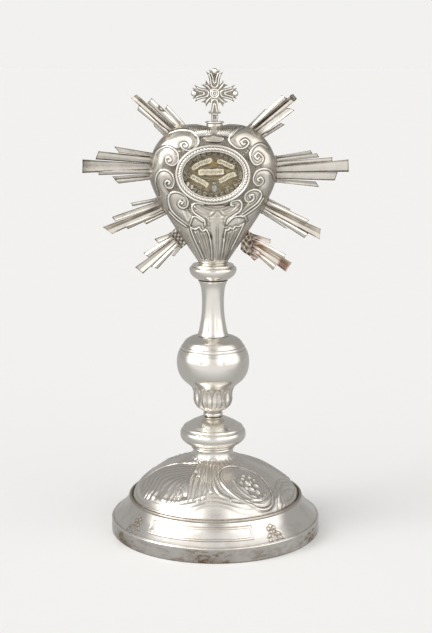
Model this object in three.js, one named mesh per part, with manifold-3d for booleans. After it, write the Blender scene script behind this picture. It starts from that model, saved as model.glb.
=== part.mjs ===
// A heart-shaped silver reliquary monstrance: a round embossed foot, a turned stem, a hollow heart with an
// oval glazed window, eight bundles of stepped rays and a small flory cross.
// Millimetres. +Z up, the front with the window faces -Y, the origin is on the table under the foot's centre.
import * as THREE from "three";
import { ParametricGeometry } from "three/addons/geometries/ParametricGeometry.js";
import { mergeVertices } from "three/addons/utils/BufferGeometryUtils.js";
import Module from "manifold-3d";

const wasm = await Module();
wasm.setup();

// ---------------------------------------------------------------- driving dimensions
const GAP = 0.3; // between pieces that touch
const STEM_X = -1.8; // the stem stands this far off the foot's centre
const CROSS_X = -0.6;

const FOOT_RADIUS = 77.3;
const RIM_HEIGHT = 10.8;
const FOOT_HEIGHT = 61.2;
const FOOT_SHEET = 1.2;
const FOOT_SEGMENTS = 34;

const KNOP_HEIGHTS = [61.5, 85.4];
const SPOOL_HEIGHTS = [85.7, 89.6];
const BALUSTER_HEIGHTS = [89.9, 146.2];
const NECK_HEIGHTS = [146.5, 187.0];
const UPPER_KNOP_HEIGHTS = [187.3, 200.1];

const HEART_BASE = 200.4;
const HEART_TOP = 298.4;
const HEART_HALF_WIDTH = 44.9;
const HEART_WIDEST = 265;
const HEART_FOOT_RADIUS = 9.8;
const HEART_FRONT = 21.5; // bulge of the front before it is flattened round the window
const HEART_PLATEAU = 18.6;
const HEART_BACK = 15.5;
const HEART_SHEET = 1.1;
const CLEFT = 1.6;
const ROWS_OF_HEART = 11;
const SLICES_OF_HEART = 26;

// Each C-scroll of the right side: its eye [x, z], the spiral's first radius and angle, and where its tail begins.
const SCROLLS = [
  { eye: [20.8, 286.4], radius: 9.2, start: 75, tail: [35, 288] },
  { eye: [30.7, 276.6], radius: 7.8, start: 65, tail: [40.5, 273] },
  { eye: [31.4, 260.5], radius: 6.8, start: 45, tail: [38, 249] },
  { eye: [23.4, 246.2], radius: 6.8, start: 0, tail: [12.5, 228] },
];
const SCROLL_TIGHTENING = 0.72; // the radius left after each quarter turn
const SCROLL_QUARTERS = 3;
const SCROLL_WIRE = 1.2;

// Ribs of the acanthus leaf on the right side, from [x, z] above to [x, z] below, and its two curls.
const LEAF_RIBS = [
  [[1.8, 232], [2.6, 218], [3.2, 206]],
  [[8, 229], [6.4, 222], [7, 206]],
  [[13, 228], [13.4, 219], [9.6, 206]],
];
const CARTOUCHE = [[12, 247.5], [17.2, 244], [14, 236], [8.4, 231.5]];

const WINDOW_HEIGHT = 265; // centre of the window
const WINDOW_HALF = [21.4, 16.1]; // clear opening
const HOLE_MARGIN = 3.2; // the hole in the heart is this much wider than the clear opening
const FRAME_MARGIN = 4.85; // the bezel's outer edge
const GLASS_MARGIN = 1.0;

const CROSS_CENTRE = 320.4;
const CROSS_ARM = 16.7;
const CROSS_TOP_ARM = 17.7;
const CROSS_THICKNESS = 2.4;
const SOCKET_RADIUS = 6.5;
const SOCKET_HEIGHTS = [295.6, 300.7];

const RAY_SPAN = 95; // the longest rays reach this far to each side
const RAY_SHEET = 0.9;
const RAY_RIDGE = 1.3;
const RAY_PLANE = 1.2; // the rays stand just behind the seam of the heart

// ---------------------------------------------------------------- materials
const silver = (color, roughness) => () =>
  new THREE.MeshStandardMaterial({ color, roughness, metalness: 1 });
const polishedSilver = silver(0xd9d5cf, 0.22);
const chasedSilver = silver(0xc4beb4, 0.34);
const raySilver = silver(0xcfc8bc, 0.3);
const clearGlass = () =>
  new THREE.MeshStandardMaterial({ color: 0xeef2f0, roughness: 0.05, metalness: 0, transparent: true, opacity: 0.3 });
const agedPaper = () => new THREE.MeshStandardMaterial({ color: 0x9c8258, roughness: 0.85, metalness: 0 });

// ---------------------------------------------------------------- joining and cutting
function toSolid(geometry) {
  const bare = new THREE.BufferGeometry().setAttribute("position", geometry.getAttribute("position"));
  bare.setIndex(geometry.getIndex());
  const merged = mergeVertices(bare, 1e-3);
  const corners = merged.getIndex().array;
  const triangles = [];
  for (let i = 0; i < corners.length; i += 3) {
    const [a, b, c] = [corners[i], corners[i + 1], corners[i + 2]];
    if (a !== b && b !== c && c !== a) triangles.push(a, b, c);
  }
  return new wasm.Manifold(
    new wasm.Mesh({
      numProp: 3,
      vertProperties: merged.getAttribute("position").array,
      triVerts: new Uint32Array(triangles),
    }),
  );
}

function toGeometry(made) {
  const mesh = made.getMesh();
  const geometry = new THREE.BufferGeometry();
  geometry.setAttribute("position", new THREE.BufferAttribute(mesh.vertProperties, 3));
  geometry.setIndex(new THREE.BufferAttribute(mesh.triVerts, 1));
  geometry.computeVertexNormals();
  return geometry;
}

const joined = (solids) => solids.reduce((whole, next) => whole.add(next));

// ---------------------------------------------------------------- turned pieces
const rise = (low, high, value) => THREE.MathUtils.smoothstep(value, low, high);
const fall = (low, high, value) => 1 - rise(low, high, value);

// A smooth stretch of a profile through a few [radius, height] points.
function bend(points, steps) {
  const curve = new THREE.SplineCurve(points.map(([r, z]) => new THREE.Vector2(r, z)));
  return curve.getPoints(steps).map((p) => [p.x, p.y]);
}

// Turns a profile of [radius, height] points, listed upwards on the outside, about the +Z axis.
function turned(profile, segments) {
  const points = profile.map(([r, z]) => new THREE.Vector2(r, z));
  return new THREE.LatheGeometry(points, segments).rotateX(Math.PI / 2);
}

// A closed turned solid: the profile is joined to the axis by a flat at each end.
function turnedSolid(profile, segments) {
  const bottom = [0, profile[0][1]];
  const top = [0, profile.at(-1)[1]];
  return turned([bottom, ...profile, top], segments);
}

// ---------------------------------------------------------------- foot
const DOME_EDGE = 60.6;
const DOME_RELIEF = 2.2;

const footOutside = [
  [FOOT_RADIUS, 0],
  [FOOT_RADIUS, RIM_HEIGHT],
  ...bend([[76.2, 13], [70.6, 16.4], [66, 20.6], [62.4, 26.2]], 3),
  ...bend([[DOME_EDGE, 27], [54.6, 35], [42.6, 44.6], [25, 51.6], [16.8, 55.8], [14.8, FOOT_HEIGHT]], 8),
];

// The same outline one sheet further in, with every second point of the dome.
function insideOf(outside, sheet) {
  const inner = [];
  for (let i = 2; i < outside.length; i += 2) {
    const [before, after] = [outside[i - 1], outside[Math.min(i + 1, outside.length - 1)]];
    const along = new THREE.Vector2(after[0] - before[0], after[1] - before[1]).normalize();
    inner.push([outside[i][0] - along.y * sheet, outside[i][1] + along.x * sheet]);
  }
  return inner;
}

// Raised ovals, a leaf at the front and the back, and a waved border: how far the dome's sheet is pushed out.
function footRelief(x, y, z) {
  const radius = Math.hypot(x, y);
  if (z < 27 || radius > DOME_EDGE || radius < 18) return 0;
  const turn = Math.atan2(x, -y);
  const oval = (centre) => {
    const across = (Math.atan2(Math.sin(turn - centre), Math.cos(turn - centre)) * 42) / 20;
    const up = (radius - 42) / 13;
    return fall(0.7, 1.1, Math.hypot(across, up));
  };
  const ovals = [-140, -40, 40, 140].map((degrees) => oval(THREE.MathUtils.degToRad(degrees)));
  const leaf = fall(0, 0.3, (Math.abs(Math.sin(turn)) * radius) / 30) * fall(30, 48, radius);
  const wave = fall(0, 4, Math.abs(radius - 55 - 2.5 * Math.cos(4 * turn)));
  return Math.max(...ovals, 0.8 * leaf, 0.6 * wave) * DOME_RELIEF;
}

function foot() {
  const inside = insideOf(footOutside, FOOT_SHEET).reverse();
  const hem = [[FOOT_RADIUS - FOOT_SHEET, 2.4], [FOOT_RADIUS - 3.6, 2], [FOOT_RADIUS - 3.6, 0]];
  const neckInside = [[13.5, FOOT_HEIGHT]];
  const wallInside = inside.filter(([, z]) => z < FOOT_HEIGHT - 2);
  const loop = [...footOutside, ...neckInside, ...wallInside, ...hem, footOutside[0]];
  const geometry = turned(loop, FOOT_SEGMENTS);
  const place = geometry.getAttribute("position");
  const outsideCount = footOutside.length;
  for (let i = 0; i < place.count; i++) {
    const [x, y, z] = [place.getX(i), place.getY(i), place.getZ(i)];
    const onOutside = i % loop.length < outsideCount;
    const push = onOutside ? footRelief(x, y, z) : 0;
    const shift = STEM_X * rise(30, 56, z);
    const radius = Math.hypot(x, y);
    place.setXYZ(i, x + (push * 0.5 * x) / radius + shift, y + (push * 0.5 * y) / radius, z + push * 0.85);
  }
  return geometry;
}

// ---------------------------------------------------------------- stem
function lowerKnop() {
  const [bottom, top] = KNOP_HEIGHTS;
  return turnedSolid(
    [
      [15.2, bottom],
      [15.6, bottom + 1.2],
      ...bend([[16.6, 63.2], [20.6, 66.2], [23.9, 70.6], [23.3, 75.4]], 3),
      [22.2, 76.2],
      [21.6, 77.6],
      ...bend([[19.9, 78.9], [15.8, 81.8], [8.4, top]], 2),
    ],
    24,
  );
}

function spool() {
  const [bottom, top] = SPOOL_HEIGHTS;
  return turnedSolid(bend([[6.3, bottom], [7, 86.6], [7.1, 88.4], [6.3, top]], 6), 16);
}

function baluster() {
  const [bottom, top] = BALUSTER_HEIGHTS;
  return turnedSolid(
    [
      [6.9, bottom],
      ...bend([[11.4, 92.6], [14.1, 96.8], [14.4, 103.6], [17.4, 110], [23.2, 115.4], [26.4, 125.6], [24.2, 136.2]], 8),
      [22.6, 136.8],
      [22.8, 138.2],
      ...bend([[21.6, 140], [19.6, 142.6], [12.2, top]], 2),
    ],
    24,
  );
}

function stemNeck() {
  const [bottom, top] = NECK_HEIGHTS;
  return turnedSolid(bend([[11.2, bottom], [9.9, 151.4], [8.5, 160.4], [8, 170.6], [8.7, 181], [10.6, top]], 6), 22);
}

function upperKnop() {
  const [bottom, top] = UPPER_KNOP_HEIGHTS;
  return turnedSolid(
    [
      [10.4, bottom],
      ...bend([[12.6, 188.4], [16.4, 191.4], [17.1, 194.6], [15.3, 197]], 4),
      [14.2, 197.3],
      [13.6, 198.4],
      [11, 198.8],
      [10.6, top],
    ],
    22,
  );
}

// ---------------------------------------------------------------- heart
// One side of the heart's outline, from its foot past the widest place to the top of the lobe.
const heartSide = new THREE.CurvePath();
heartSide.add(
  new THREE.CubicBezierCurve(
    new THREE.Vector2(HEART_FOOT_RADIUS, HEART_BASE),
    new THREE.Vector2(22, HEART_BASE + 19),
    new THREE.Vector2(HEART_HALF_WIDTH, HEART_WIDEST - 16),
    new THREE.Vector2(HEART_HALF_WIDTH, HEART_WIDEST),
  ),
);
heartSide.add(
  new THREE.CubicBezierCurve(
    new THREE.Vector2(HEART_HALF_WIDTH, HEART_WIDEST),
    new THREE.Vector2(HEART_HALF_WIDTH, HEART_WIDEST + 19),
    new THREE.Vector2(31, HEART_TOP),
    new THREE.Vector2(14, HEART_TOP),
  ),
);

// How far the heart stands out at a height, where its deepest place is `deepest`.
function heartDepth(z, deepest) {
  if (z < HEART_WIDEST) {
    const climb = THREE.MathUtils.clamp((z - HEART_BASE) / (HEART_WIDEST - HEART_BASE), 0, 1);
    return HEART_FOOT_RADIUS + (deepest - HEART_FOOT_RADIUS) * Math.sin((climb * Math.PI) / 2);
  }
  const climb = THREE.MathUtils.clamp((z - HEART_WIDEST) / (HEART_TOP - HEART_WIDEST), 0, 1);
  return deepest * Math.pow(1 - Math.pow(climb, 2.6), 0.45);
}

// The whole heart as one closed body, drawn in all round by `inset`.
function heartBody(inset, slices, stacks) {
  const middle = (HEART_BASE + HEART_TOP) / 2;
  const shrink = 1 - inset / (HEART_TOP - middle);
  const geometry = new ParametricGeometry(
    (u, v, target) => {
      const row = Math.round(v * stacks);
      const side = heartSide.getPoint(Math.max(0, row - 1) / (stacks - 1));
      const width = row === 0 ? 0 : side.x - inset;
      const turn = u * 2 * Math.PI;
      const [cos, sin] = [Math.cos(turn), Math.sin(turn)];
      const squareness = 2 + 0.4 * rise(HEART_BASE, HEART_WIDEST, side.y);
      const x = width * Math.sign(cos) * Math.pow(Math.abs(cos), 2 / squareness);
      const isFront = sin < 0;
      const deepest = heartDepth(side.y, isFront ? HEART_FRONT : HEART_BACK) - inset;
      const swell = row === 0 || row === stacks ? 0 : Math.max(deepest, 0) * Math.pow(Math.abs(sin), 2 / squareness);
      const depth = isFront ? Math.min(swell, HEART_PLATEAU - inset) : swell;
      const hollow = Math.cos((Math.PI / 2) * (x / width || 0)) ** 2;
      const dip = CLEFT * rise(HEART_WIDEST + 12, HEART_TOP, side.y) * hollow;
      const top = row === 0 ? HEART_BASE : side.y - dip;
      target.set(x, isFront ? -depth : depth, middle + (top - middle) * shrink);
    },
    slices,
    stacks,
  );
  return toSolid(geometry);
}

const box = (size, centre) => toSolid(new THREE.BoxGeometry(...size).translate(...centre));

function ovalShape(margin, segments) {
  const shape = new THREE.Shape();
  for (let i = 0; i < segments; i++) {
    const turn = (i / segments) * 2 * Math.PI;
    const point = [(WINDOW_HALF[0] + margin) * Math.cos(turn), (WINDOW_HALF[1] + margin) * Math.sin(turn)];
    if (i === 0) shape.moveTo(...point);
    else shape.lineTo(...point);
  }
  return shape;
}

// An oval plate across the window's axis, from its front face at y to `thickness` behind it.
function ovalPlate(margin, front, thickness, segments) {
  return new THREE.ExtrudeGeometry(ovalShape(margin, segments), { depth: thickness, bevelEnabled: false })
    .rotateX(Math.PI / 2)
    .translate(0, front + thickness, WINDOW_HEIGHT);
}

const socketSeat = () =>
  toSolid(
    turnedSolid([[SOCKET_RADIUS + GAP, SOCKET_HEIGHTS[0] - GAP], [SOCKET_RADIUS + GAP, HEART_TOP + 5]], 16).translate(
      CROSS_X - STEM_X,
      0,
      0,
    ),
  );

const heartShell = heartBody(0, SLICES_OF_HEART, ROWS_OF_HEART)
  .subtract(heartBody(HEART_SHEET, 18, 8))
  .subtract(socketSeat());

// The heart's half width at a height, found by halving.
function heartHalfWidth(z) {
  let [low, high] = [0, 1];
  for (let i = 0; i < 24; i++) {
    const half = (low + high) / 2;
    if (heartSide.getPoint(half).y < z) low = half;
    else high = half;
  }
  return heartSide.getPoint(low).x;
}

// The y of the heart's front at a place seen from the front.
function frontAt(x, z) {
  const across = Math.min(Math.abs(x) / heartHalfWidth(z), 1);
  const squareness = 2 + 0.4 * rise(HEART_BASE, HEART_WIDEST, z);
  const swell = heartDepth(z, HEART_FRONT) * Math.pow(1 - Math.pow(across, squareness), 1 / squareness);
  return -Math.min(swell, HEART_PLATEAU);
}

// A raised wire laid on the heart's front along [x, z] points, half sunk in it.
function frontRidge(points, steps, radius) {
  const onSurface = points.map(([x, z]) => new THREE.Vector3(x, frontAt(x, z) - radius * 0.2, z));
  const corner = (degrees) => new THREE.Vector2(radius, 0).rotateAround(new THREE.Vector2(), (degrees * Math.PI) / 180);
  const section = new THREE.Shape([corner(0), corner(120), corner(240)]);
  const path = new THREE.CatmullRomCurve3(onSurface, false, "centripetal");
  return toSolid(new THREE.ExtrudeGeometry(section, { steps, extrudePath: path }));
}

// A scroll's points from its tail round the spiral to its eye. `side` is 1 for the right and -1 for the left.
function scrollPoints({ eye, radius, start, tail }, side) {
  const points = [tail];
  for (let i = 0; i <= SCROLL_QUARTERS * 2; i++) {
    const turn = THREE.MathUtils.degToRad(start + i * 45);
    const reach = radius * Math.pow(SCROLL_TIGHTENING, i / 2);
    points.push([eye[0] + reach * Math.cos(turn), eye[1] + reach * Math.sin(turn)]);
  }
  return points.map(([x, z]) => [side * x, z]);
}

function heartFront() {
  const front = box([120, 60, 140], [0, -30 - GAP / 2, 250]);
  const hole = toSolid(ovalPlate(HOLE_MARGIN, -40, 36, 28));
  const framePlace = toSolid(ovalPlate(FRAME_MARGIN + GAP, -40, 40 - HEART_PLATEAU, 28));
  const ridges = [1, -1].flatMap((side) => {
    const mirrored = (points) => points.map(([x, z]) => [side * x, z]);
    return [
      ...SCROLLS.map((scroll) => frontRidge(scrollPoints(scroll, side), 6, SCROLL_WIRE)),
      ...LEAF_RIBS.map((rib) => frontRidge(mirrored(rib), 2, SCROLL_WIRE)),
      frontRidge(mirrored(CARTOUCHE), 3, SCROLL_WIRE),
    ];
  });
  const shell = heartShell.intersect(front);
  return toGeometry(joined([shell, ...ridges]).subtract(framePlace).subtract(hole));
}

function heartBack() {
  return toGeometry(heartShell.intersect(box([120, 60, 140], [0, 30 + GAP / 2, 250])));
}

// ---------------------------------------------------------------- window
// The bezel's section: how far out from the clear opening, and y.
const FRAME_SECTION = [
  [0, -20.6],
  [0, -21.4],
  [1.1, -22.2],
  [2.3, -21.2],
  [3.7, -22],
  [FRAME_MARGIN, -20.4],
  [FRAME_MARGIN, -18.9],
  [2.9, -18.9],
  [2.9, -13.9],
  [1.4, -13.9],
  [1.4, -20.6],
];

function windowFrame() {
  const rounds = FRAME_SECTION.length;
  return new ParametricGeometry(
    (u, v, target) => {
      const [out, y] = FRAME_SECTION[Math.round(v * rounds) % rounds];
      const turn = -u * 2 * Math.PI;
      const x = (WINDOW_HALF[0] + out) * Math.cos(turn);
      target.set(x, y, WINDOW_HEIGHT + (WINDOW_HALF[1] + out) * Math.sin(turn));
    },
    24,
    rounds,
  );
}

const windowGlass = () => ovalPlate(GLASS_MARGIN, -20.2, 1.2, 28);
const relicMount = () => ovalPlate(GLASS_MARGIN, -15.4, 1.2, 28);

// ---------------------------------------------------------------- cross
// One arm pointing to +X in the plane of the cross: a strap that opens into two curled leaves and a bead.
function crossArm(length) {
  const shape = new THREE.Shape();
  shape.moveTo(0, -2.4);
  shape.quadraticCurveTo(4.4, -3.6, 6.6, -2);
  shape.quadraticCurveTo(length * 0.66, -1.6, length - 3.2, -4.6);
  shape.lineTo(length - 2.2, -1.7);
  shape.lineTo(length - 2.2, 1.7);
  shape.lineTo(length - 3.2, 4.6);
  shape.quadraticCurveTo(length * 0.66, 1.6, 6.6, 2);
  shape.quadraticCurveTo(4.4, 3.6, 0, 2.4);
  return shape;
}

// The foot of the cross: a plain strap that widens above a square tang.
function crossShank(length) {
  const shape = new THREE.Shape();
  shape.moveTo(0, -2.4);
  shape.quadraticCurveTo(5, -4, length * 0.62, -3.4);
  shape.lineTo(length * 0.72, -4.1);
  shape.lineTo(length * 0.76, -2.4);
  shape.lineTo(length, -2.4);
  shape.lineTo(length, 2.4);
  shape.lineTo(length * 0.76, 2.4);
  shape.lineTo(length * 0.72, 4.1);
  shape.lineTo(length * 0.62, 3.4);
  shape.quadraticCurveTo(5, 4, 0, 2.4);
  return shape;
}

function crossLeaf() {
  const shape = new THREE.Shape();
  shape.moveTo(0, -1.4);
  shape.quadraticCurveTo(6, -1.9, 10.6, -1.3);
  shape.lineTo(9.6, 0);
  shape.lineTo(10.6, 1.3);
  shape.quadraticCurveTo(6, 1.9, 0, 1.4);
  return shape;
}

// Cuts a shape out of plate, turns it by degrees in the plane of the cross and stands it upright.
function crossPlate(shape, degrees, thickness) {
  const cut = new THREE.ExtrudeGeometry(shape, { depth: thickness, bevelEnabled: false, curveSegments: 2 });
  cut.translate(0, 0, -thickness / 2).rotateZ(THREE.MathUtils.degToRad(degrees));
  return toSolid(cut.rotateX(Math.PI / 2));
}

function crossBead(radius, x, z) {
  return toSolid(new THREE.SphereGeometry(radius, 6, 4).translate(x, 0, z));
}

function cross() {
  const shankLength = CROSS_CENTRE - SOCKET_HEIGHTS[1] - GAP;
  const beadRadius = 2.1;
  const plates = [
    crossPlate(crossArm(CROSS_ARM), 0, CROSS_THICKNESS),
    crossPlate(crossArm(CROSS_ARM), 180, CROSS_THICKNESS),
    crossPlate(crossArm(CROSS_TOP_ARM), 90, CROSS_THICKNESS),
    crossPlate(crossShank(shankLength), 270, CROSS_THICKNESS + 0.2),
  ];
  const leaves = [45, 135, 225, 315].map((degrees) => crossPlate(crossLeaf(), degrees, CROSS_THICKNESS - 0.6));
  const beads = [
    crossBead(beadRadius, CROSS_ARM - beadRadius, 0),
    crossBead(beadRadius, beadRadius - CROSS_ARM, 0),
    crossBead(beadRadius, 0, CROSS_TOP_ARM - beadRadius),
  ];
  const boss = toSolid(new THREE.SphereGeometry(3.6, 8, 4).scale(1, 0.75, 1));
  return toGeometry(joined([...plates, ...leaves, ...beads, boss])).translate(0, 0, CROSS_CENTRE);
}

function crossSocket() {
  const [bottom, top] = SOCKET_HEIGHTS;
  const profile = [[3.6, bottom], [5.2, bottom + 0.8], [5.9, top - 1.2], [SOCKET_RADIUS, top - 0.9], [SOCKET_RADIUS, top]];
  return turnedSolid(profile, 14);
}

// ---------------------------------------------------------------- rays
// A bundle is a folded sheet: root [x, z] beside the heart's edge, direction in degrees, the length of its root tab,
// the share by which it widens for each millimetre along it, and its blades from the upper edge to the lower one as
// [length, width at the root]. The longest blade lies on the axis.
const RAYS = {
  rays_upper_left: {
    root: [-30.4, 294.2],
    degrees: 138.5,
    tab: 0,
    fan: 0.007,
    blades: [[14.4, 2.6], [26, 4.3], [36.2, 4.5], [28.7, 2.4], [12.5, 2.4]],
  },
  rays_left: {
    root: [-46.6, 268.7],
    degrees: 180,
    tab: 0,
    fan: 0.016,
    blades: [[23.7, 2.9], [37.6, 4.6], [RAY_SPAN - 46.6, 4.4], [36.6, 2.7], [26.1, 2.2], [24, 2.3]],
  },
  rays_lower_left: {
    root: [-39, 238.9],
    degrees: 202.6,
    tab: 5,
    fan: 0.017,
    blades: [[18.2, 2.4], [34.4, 3.7], [41.7, 4], [28.6, 1.8], [14.6, 1.9]],
  },
  rays_bottom_left: {
    root: [-29.1, 215.3],
    degrees: 219.5,
    tab: 8,
    fan: 0.035,
    blades: [[10.4, 2], [22.5, 2.9], [33.7, 3.1], [24, 2.8], [8.1, 2.4]],
  },
  rays_upper_right: {
    root: [28.3, 295.1],
    degrees: 40.3,
    tab: 0,
    fan: 0.019,
    blades: [[14.1, 1.3], [30.2, 2.5], [36, 3.1], [28.3, 4.6], [17.2, 2.6]],
  },
  rays_right: {
    root: [44.4, 266.6],
    degrees: 3,
    tab: 3,
    fan: 0.013,
    blades: [[24.5, 1.6], [29, 2.3], [38.9, 3.6], [RAY_SPAN - 44.4, 3.9], [41.3, 4.9], [27.7, 2.2]],
  },
  rays_lower_right: {
    root: [35.2, 240],
    degrees: -26.3,
    tab: 4,
    fan: 0.022,
    blades: [[17.3, 1.6], [32.3, 3.4], [44.5, 3.2], [36.2, 2.1], [20.9, 1.7]],
  },
  rays_bottom_right: {
    root: [25.5, 214],
    degrees: -32.7,
    tab: 8,
    fan: 0.035,
    blades: [[11.3, 1.5], [26.4, 2.8], [32.8, 3.3], [24.2, 3], [10, 3.6]],
  },
};

// A folded sheet along +X: a zigzag of blades side by side, a ridge along the middle of each. `edges` are the
// blades' offsets, `lengths` where each is cut off square, and `startAt` gives where the sheet starts at an offset.
function foldedSheet(edges, lengths, fan, startAt) {
  const corners = [];
  const point = (offset, along, height) => [along, -height, offset * (1 + fan * along)];
  const behind = ([x, y, z]) => [x, y + RAY_SHEET, z];
  const face = (a, b, c) => corners.push(...a, ...b, ...c, ...behind(c), ...behind(b), ...behind(a));
  const rim = (a, b) => corners.push(...b, ...a, ...behind(a), ...b, ...behind(a), ...behind(b));
  lengths.forEach((length, k) => {
    const width = edges[k + 1] - edges[k];
    const middle = edges[k] + width / 2;
    const fold = Math.min(RAY_RIDGE, width * 0.35);
    const ridgeRoot = point(middle, startAt(middle), fold);
    const ridgeTip = point(middle, length, fold);
    for (const side of [0, 1]) {
      const offset = edges[k + side];
      const neighbour = lengths[side === 0 ? k - 1 : k + 1];
      const root = point(offset, startAt(offset), 0);
      const shared = neighbour === undefined ? root : point(offset, Math.min(length, neighbour), 0);
      const tip = point(offset, length, 0);
      const outline = [ridgeRoot, root, shared, tip, ridgeTip];
      const faced = (pair) => (side === 0 ? pair : [...pair].reverse());
      for (let i = 1; i < 4; i++) face(ridgeRoot, ...faced([outline[i], outline[i + 1]]));
      rim(...faced([ridgeRoot, root]));
      rim(...faced([shared, tip]));
      rim(...faced([tip, ridgeTip]));
    }
  });
  const geometry = new THREE.BufferGeometry();
  geometry.setAttribute("position", new THREE.BufferAttribute(new Float32Array(corners), 3));
  return toSolid(geometry);
}

// Walks in along a bundle at `offset` from its axis, and gives the place just outside the heart.
function rayStart(root, direction, offset) {
  const normal = new THREE.Vector2(-direction.y, direction.x);
  const step = 0.25;
  for (let along = 20; along > -20; along -= step) {
    const x = root[0] - STEM_X + direction.x * along + normal.x * offset;
    const z = root[1] + direction.y * along + normal.y * offset;
    const inside = z > HEART_BASE && z < HEART_TOP && Math.abs(x) < heartHalfWidth(z);
    if (inside) return along + step + GAP;
  }
  return 0;
}

function rayBundle({ root, degrees, tab, fan, blades }) {
  const angle = THREE.MathUtils.degToRad(degrees);
  const direction = new THREE.Vector2(Math.cos(angle), Math.sin(angle));
  const order = direction.x < 0 ? blades : [...blades].reverse();
  const lengths = order.map(([length]) => length);
  const longest = lengths.indexOf(Math.max(...lengths));
  const before = order.slice(0, longest).reduce((sum, blade) => sum + blade[1], 0);
  const edges = [-before - order[longest][1] / 2];
  for (const [, width] of order) edges.push(edges.at(-1) + width);
  const startAt = (offset) => rayStart(root, direction, offset);
  let bundle = foldedSheet(edges, lengths, fan, startAt);
  if (tab > 0) {
    const [low, high] = [edges[0], edges.at(-1)];
    const middle = (low + high) / 2;
    const start = Math.max(startAt(low), startAt(high), startAt(middle));
    bundle = bundle.add(box([tab, 1.8, high - low + 0.8], [start + tab / 2, 0.2, middle]));
  }
  return toGeometry(bundle)
    .rotateY(-angle)
    .translate(root[0] - STEM_X, RAY_PLANE, root[1]);
}

// ---------------------------------------------------------------- assembly
const monstrance = new THREE.Group();
const raised = new THREE.Group();
raised.position.x = STEM_X;
monstrance.add(raised);

function addPiece(parent, name, geometry, material) {
  const piece = new THREE.Mesh(geometry, material());
  piece.name = name;
  parent.add(piece);
  return piece;
}

addPiece(monstrance, "foot", foot(), chasedSilver);
addPiece(raised, "lower_knop", lowerKnop(), polishedSilver);
addPiece(raised, "spool", spool(), polishedSilver);
addPiece(raised, "baluster", baluster(), polishedSilver);
addPiece(raised, "stem_neck", stemNeck(), polishedSilver);
addPiece(raised, "upper_knop", upperKnop(), polishedSilver);
addPiece(raised, "heart_front", heartFront(), chasedSilver);
addPiece(raised, "heart_back", heartBack(), polishedSilver);
addPiece(raised, "window_frame", windowFrame(), polishedSilver);
addPiece(raised, "window_glass", windowGlass(), clearGlass);
addPiece(raised, "relic_mount", relicMount(), agedPaper);
addPiece(raised, "cross_socket", crossSocket(), polishedSilver).position.x = CROSS_X - STEM_X;
addPiece(raised, "cross", cross(), chasedSilver).position.x = CROSS_X - STEM_X;
for (const [name, bundle] of Object.entries(RAYS)) addPiece(raised, name, rayBundle(bundle), raySilver);

export default monstrance;
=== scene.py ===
"""A heart-shaped silver reliquary monstrance: embossed round foot, turned stem, scrolled heart with a glazed
relic window, folded sheet rays and a small flory cross. Shapes are worked out in millimetres."""
import math
import random

import bmesh
import bpy
import numpy as np
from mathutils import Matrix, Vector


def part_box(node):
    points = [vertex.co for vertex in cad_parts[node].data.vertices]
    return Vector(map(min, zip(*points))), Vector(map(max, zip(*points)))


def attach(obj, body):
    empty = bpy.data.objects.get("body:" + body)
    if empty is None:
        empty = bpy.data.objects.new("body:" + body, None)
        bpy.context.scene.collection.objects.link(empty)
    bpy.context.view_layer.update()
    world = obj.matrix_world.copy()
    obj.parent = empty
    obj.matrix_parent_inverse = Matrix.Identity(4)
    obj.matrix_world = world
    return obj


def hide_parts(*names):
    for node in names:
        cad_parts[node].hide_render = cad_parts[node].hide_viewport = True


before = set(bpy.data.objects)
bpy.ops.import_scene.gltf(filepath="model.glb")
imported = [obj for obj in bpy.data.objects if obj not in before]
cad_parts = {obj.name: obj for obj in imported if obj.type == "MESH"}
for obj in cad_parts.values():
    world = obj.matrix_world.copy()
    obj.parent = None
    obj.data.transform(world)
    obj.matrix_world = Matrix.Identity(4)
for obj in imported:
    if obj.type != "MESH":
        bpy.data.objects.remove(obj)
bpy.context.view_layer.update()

MM = 0.001
FRONT = -1  # the window looks along -Y


def node_box(node):
    """A node's lowest and highest corner in millimetres."""
    low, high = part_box(node)
    return np.array(low) / MM, np.array(high) / MM


# ------------------------------------------------------------------ places taken from the frame
foot_high = node_box("foot")[1]
knop_low, knop_high = node_box("lower_knop")
spool_low, spool_high = node_box("spool")
baluster_low, baluster_high = node_box("baluster")
neck_low, neck_high = node_box("stem_neck")
upper_low, upper_high = node_box("upper_knop")
heart_low, heart_high = node_box("heart_front")
back_high = node_box("heart_back")[1]
ring_low, ring_high = node_box("window_frame")
mount_low, mount_high = node_box("relic_mount")
socket_low, socket_high = node_box("cross_socket")
cross_low, cross_high = node_box("cross")

STEM_X = (heart_low[0] + heart_high[0]) / 2
CROSS_X = (socket_low[0] + socket_high[0]) / 2
WINDOW_Z = (ring_low[2] + ring_high[2]) / 2
WINDOW_HALF = np.array([ring_high[0] - ring_low[0], ring_high[2] - ring_low[2]]) / 2


# ------------------------------------------------------------------ small tools
def ease(low, high, value):
    """0 below low, 1 above high and a smooth rise between."""
    t = np.clip((np.asarray(value, float) - low) / (high - low), 0, 1)
    return t * t * (3 - 2 * t)


def bump_at(distance, width):
    """A rounded crest: 1 on the line, near 0 at twice the width."""
    return np.exp(-((distance / width) ** 2))


def spline(points, steps):
    """A smooth line through a few points, with `steps` stretches between each two of them."""
    p = np.array(points, float)
    p = np.vstack([2 * p[0] - p[1], p, 2 * p[-1] - p[-2]])
    t = np.linspace(0, 1, steps, endpoint=False)[:, None]
    runs = [
        0.5 * (2 * b + (c - a) * t + (2 * a - 5 * b + 4 * c - d) * t**2 + (3 * b - a - 3 * c + d) * t**3)
        for a, b, c, d in zip(p[:-3], p[1:-2], p[2:-1], p[3:])
    ]
    return np.vstack(runs + [p[-2:-1]])


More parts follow.
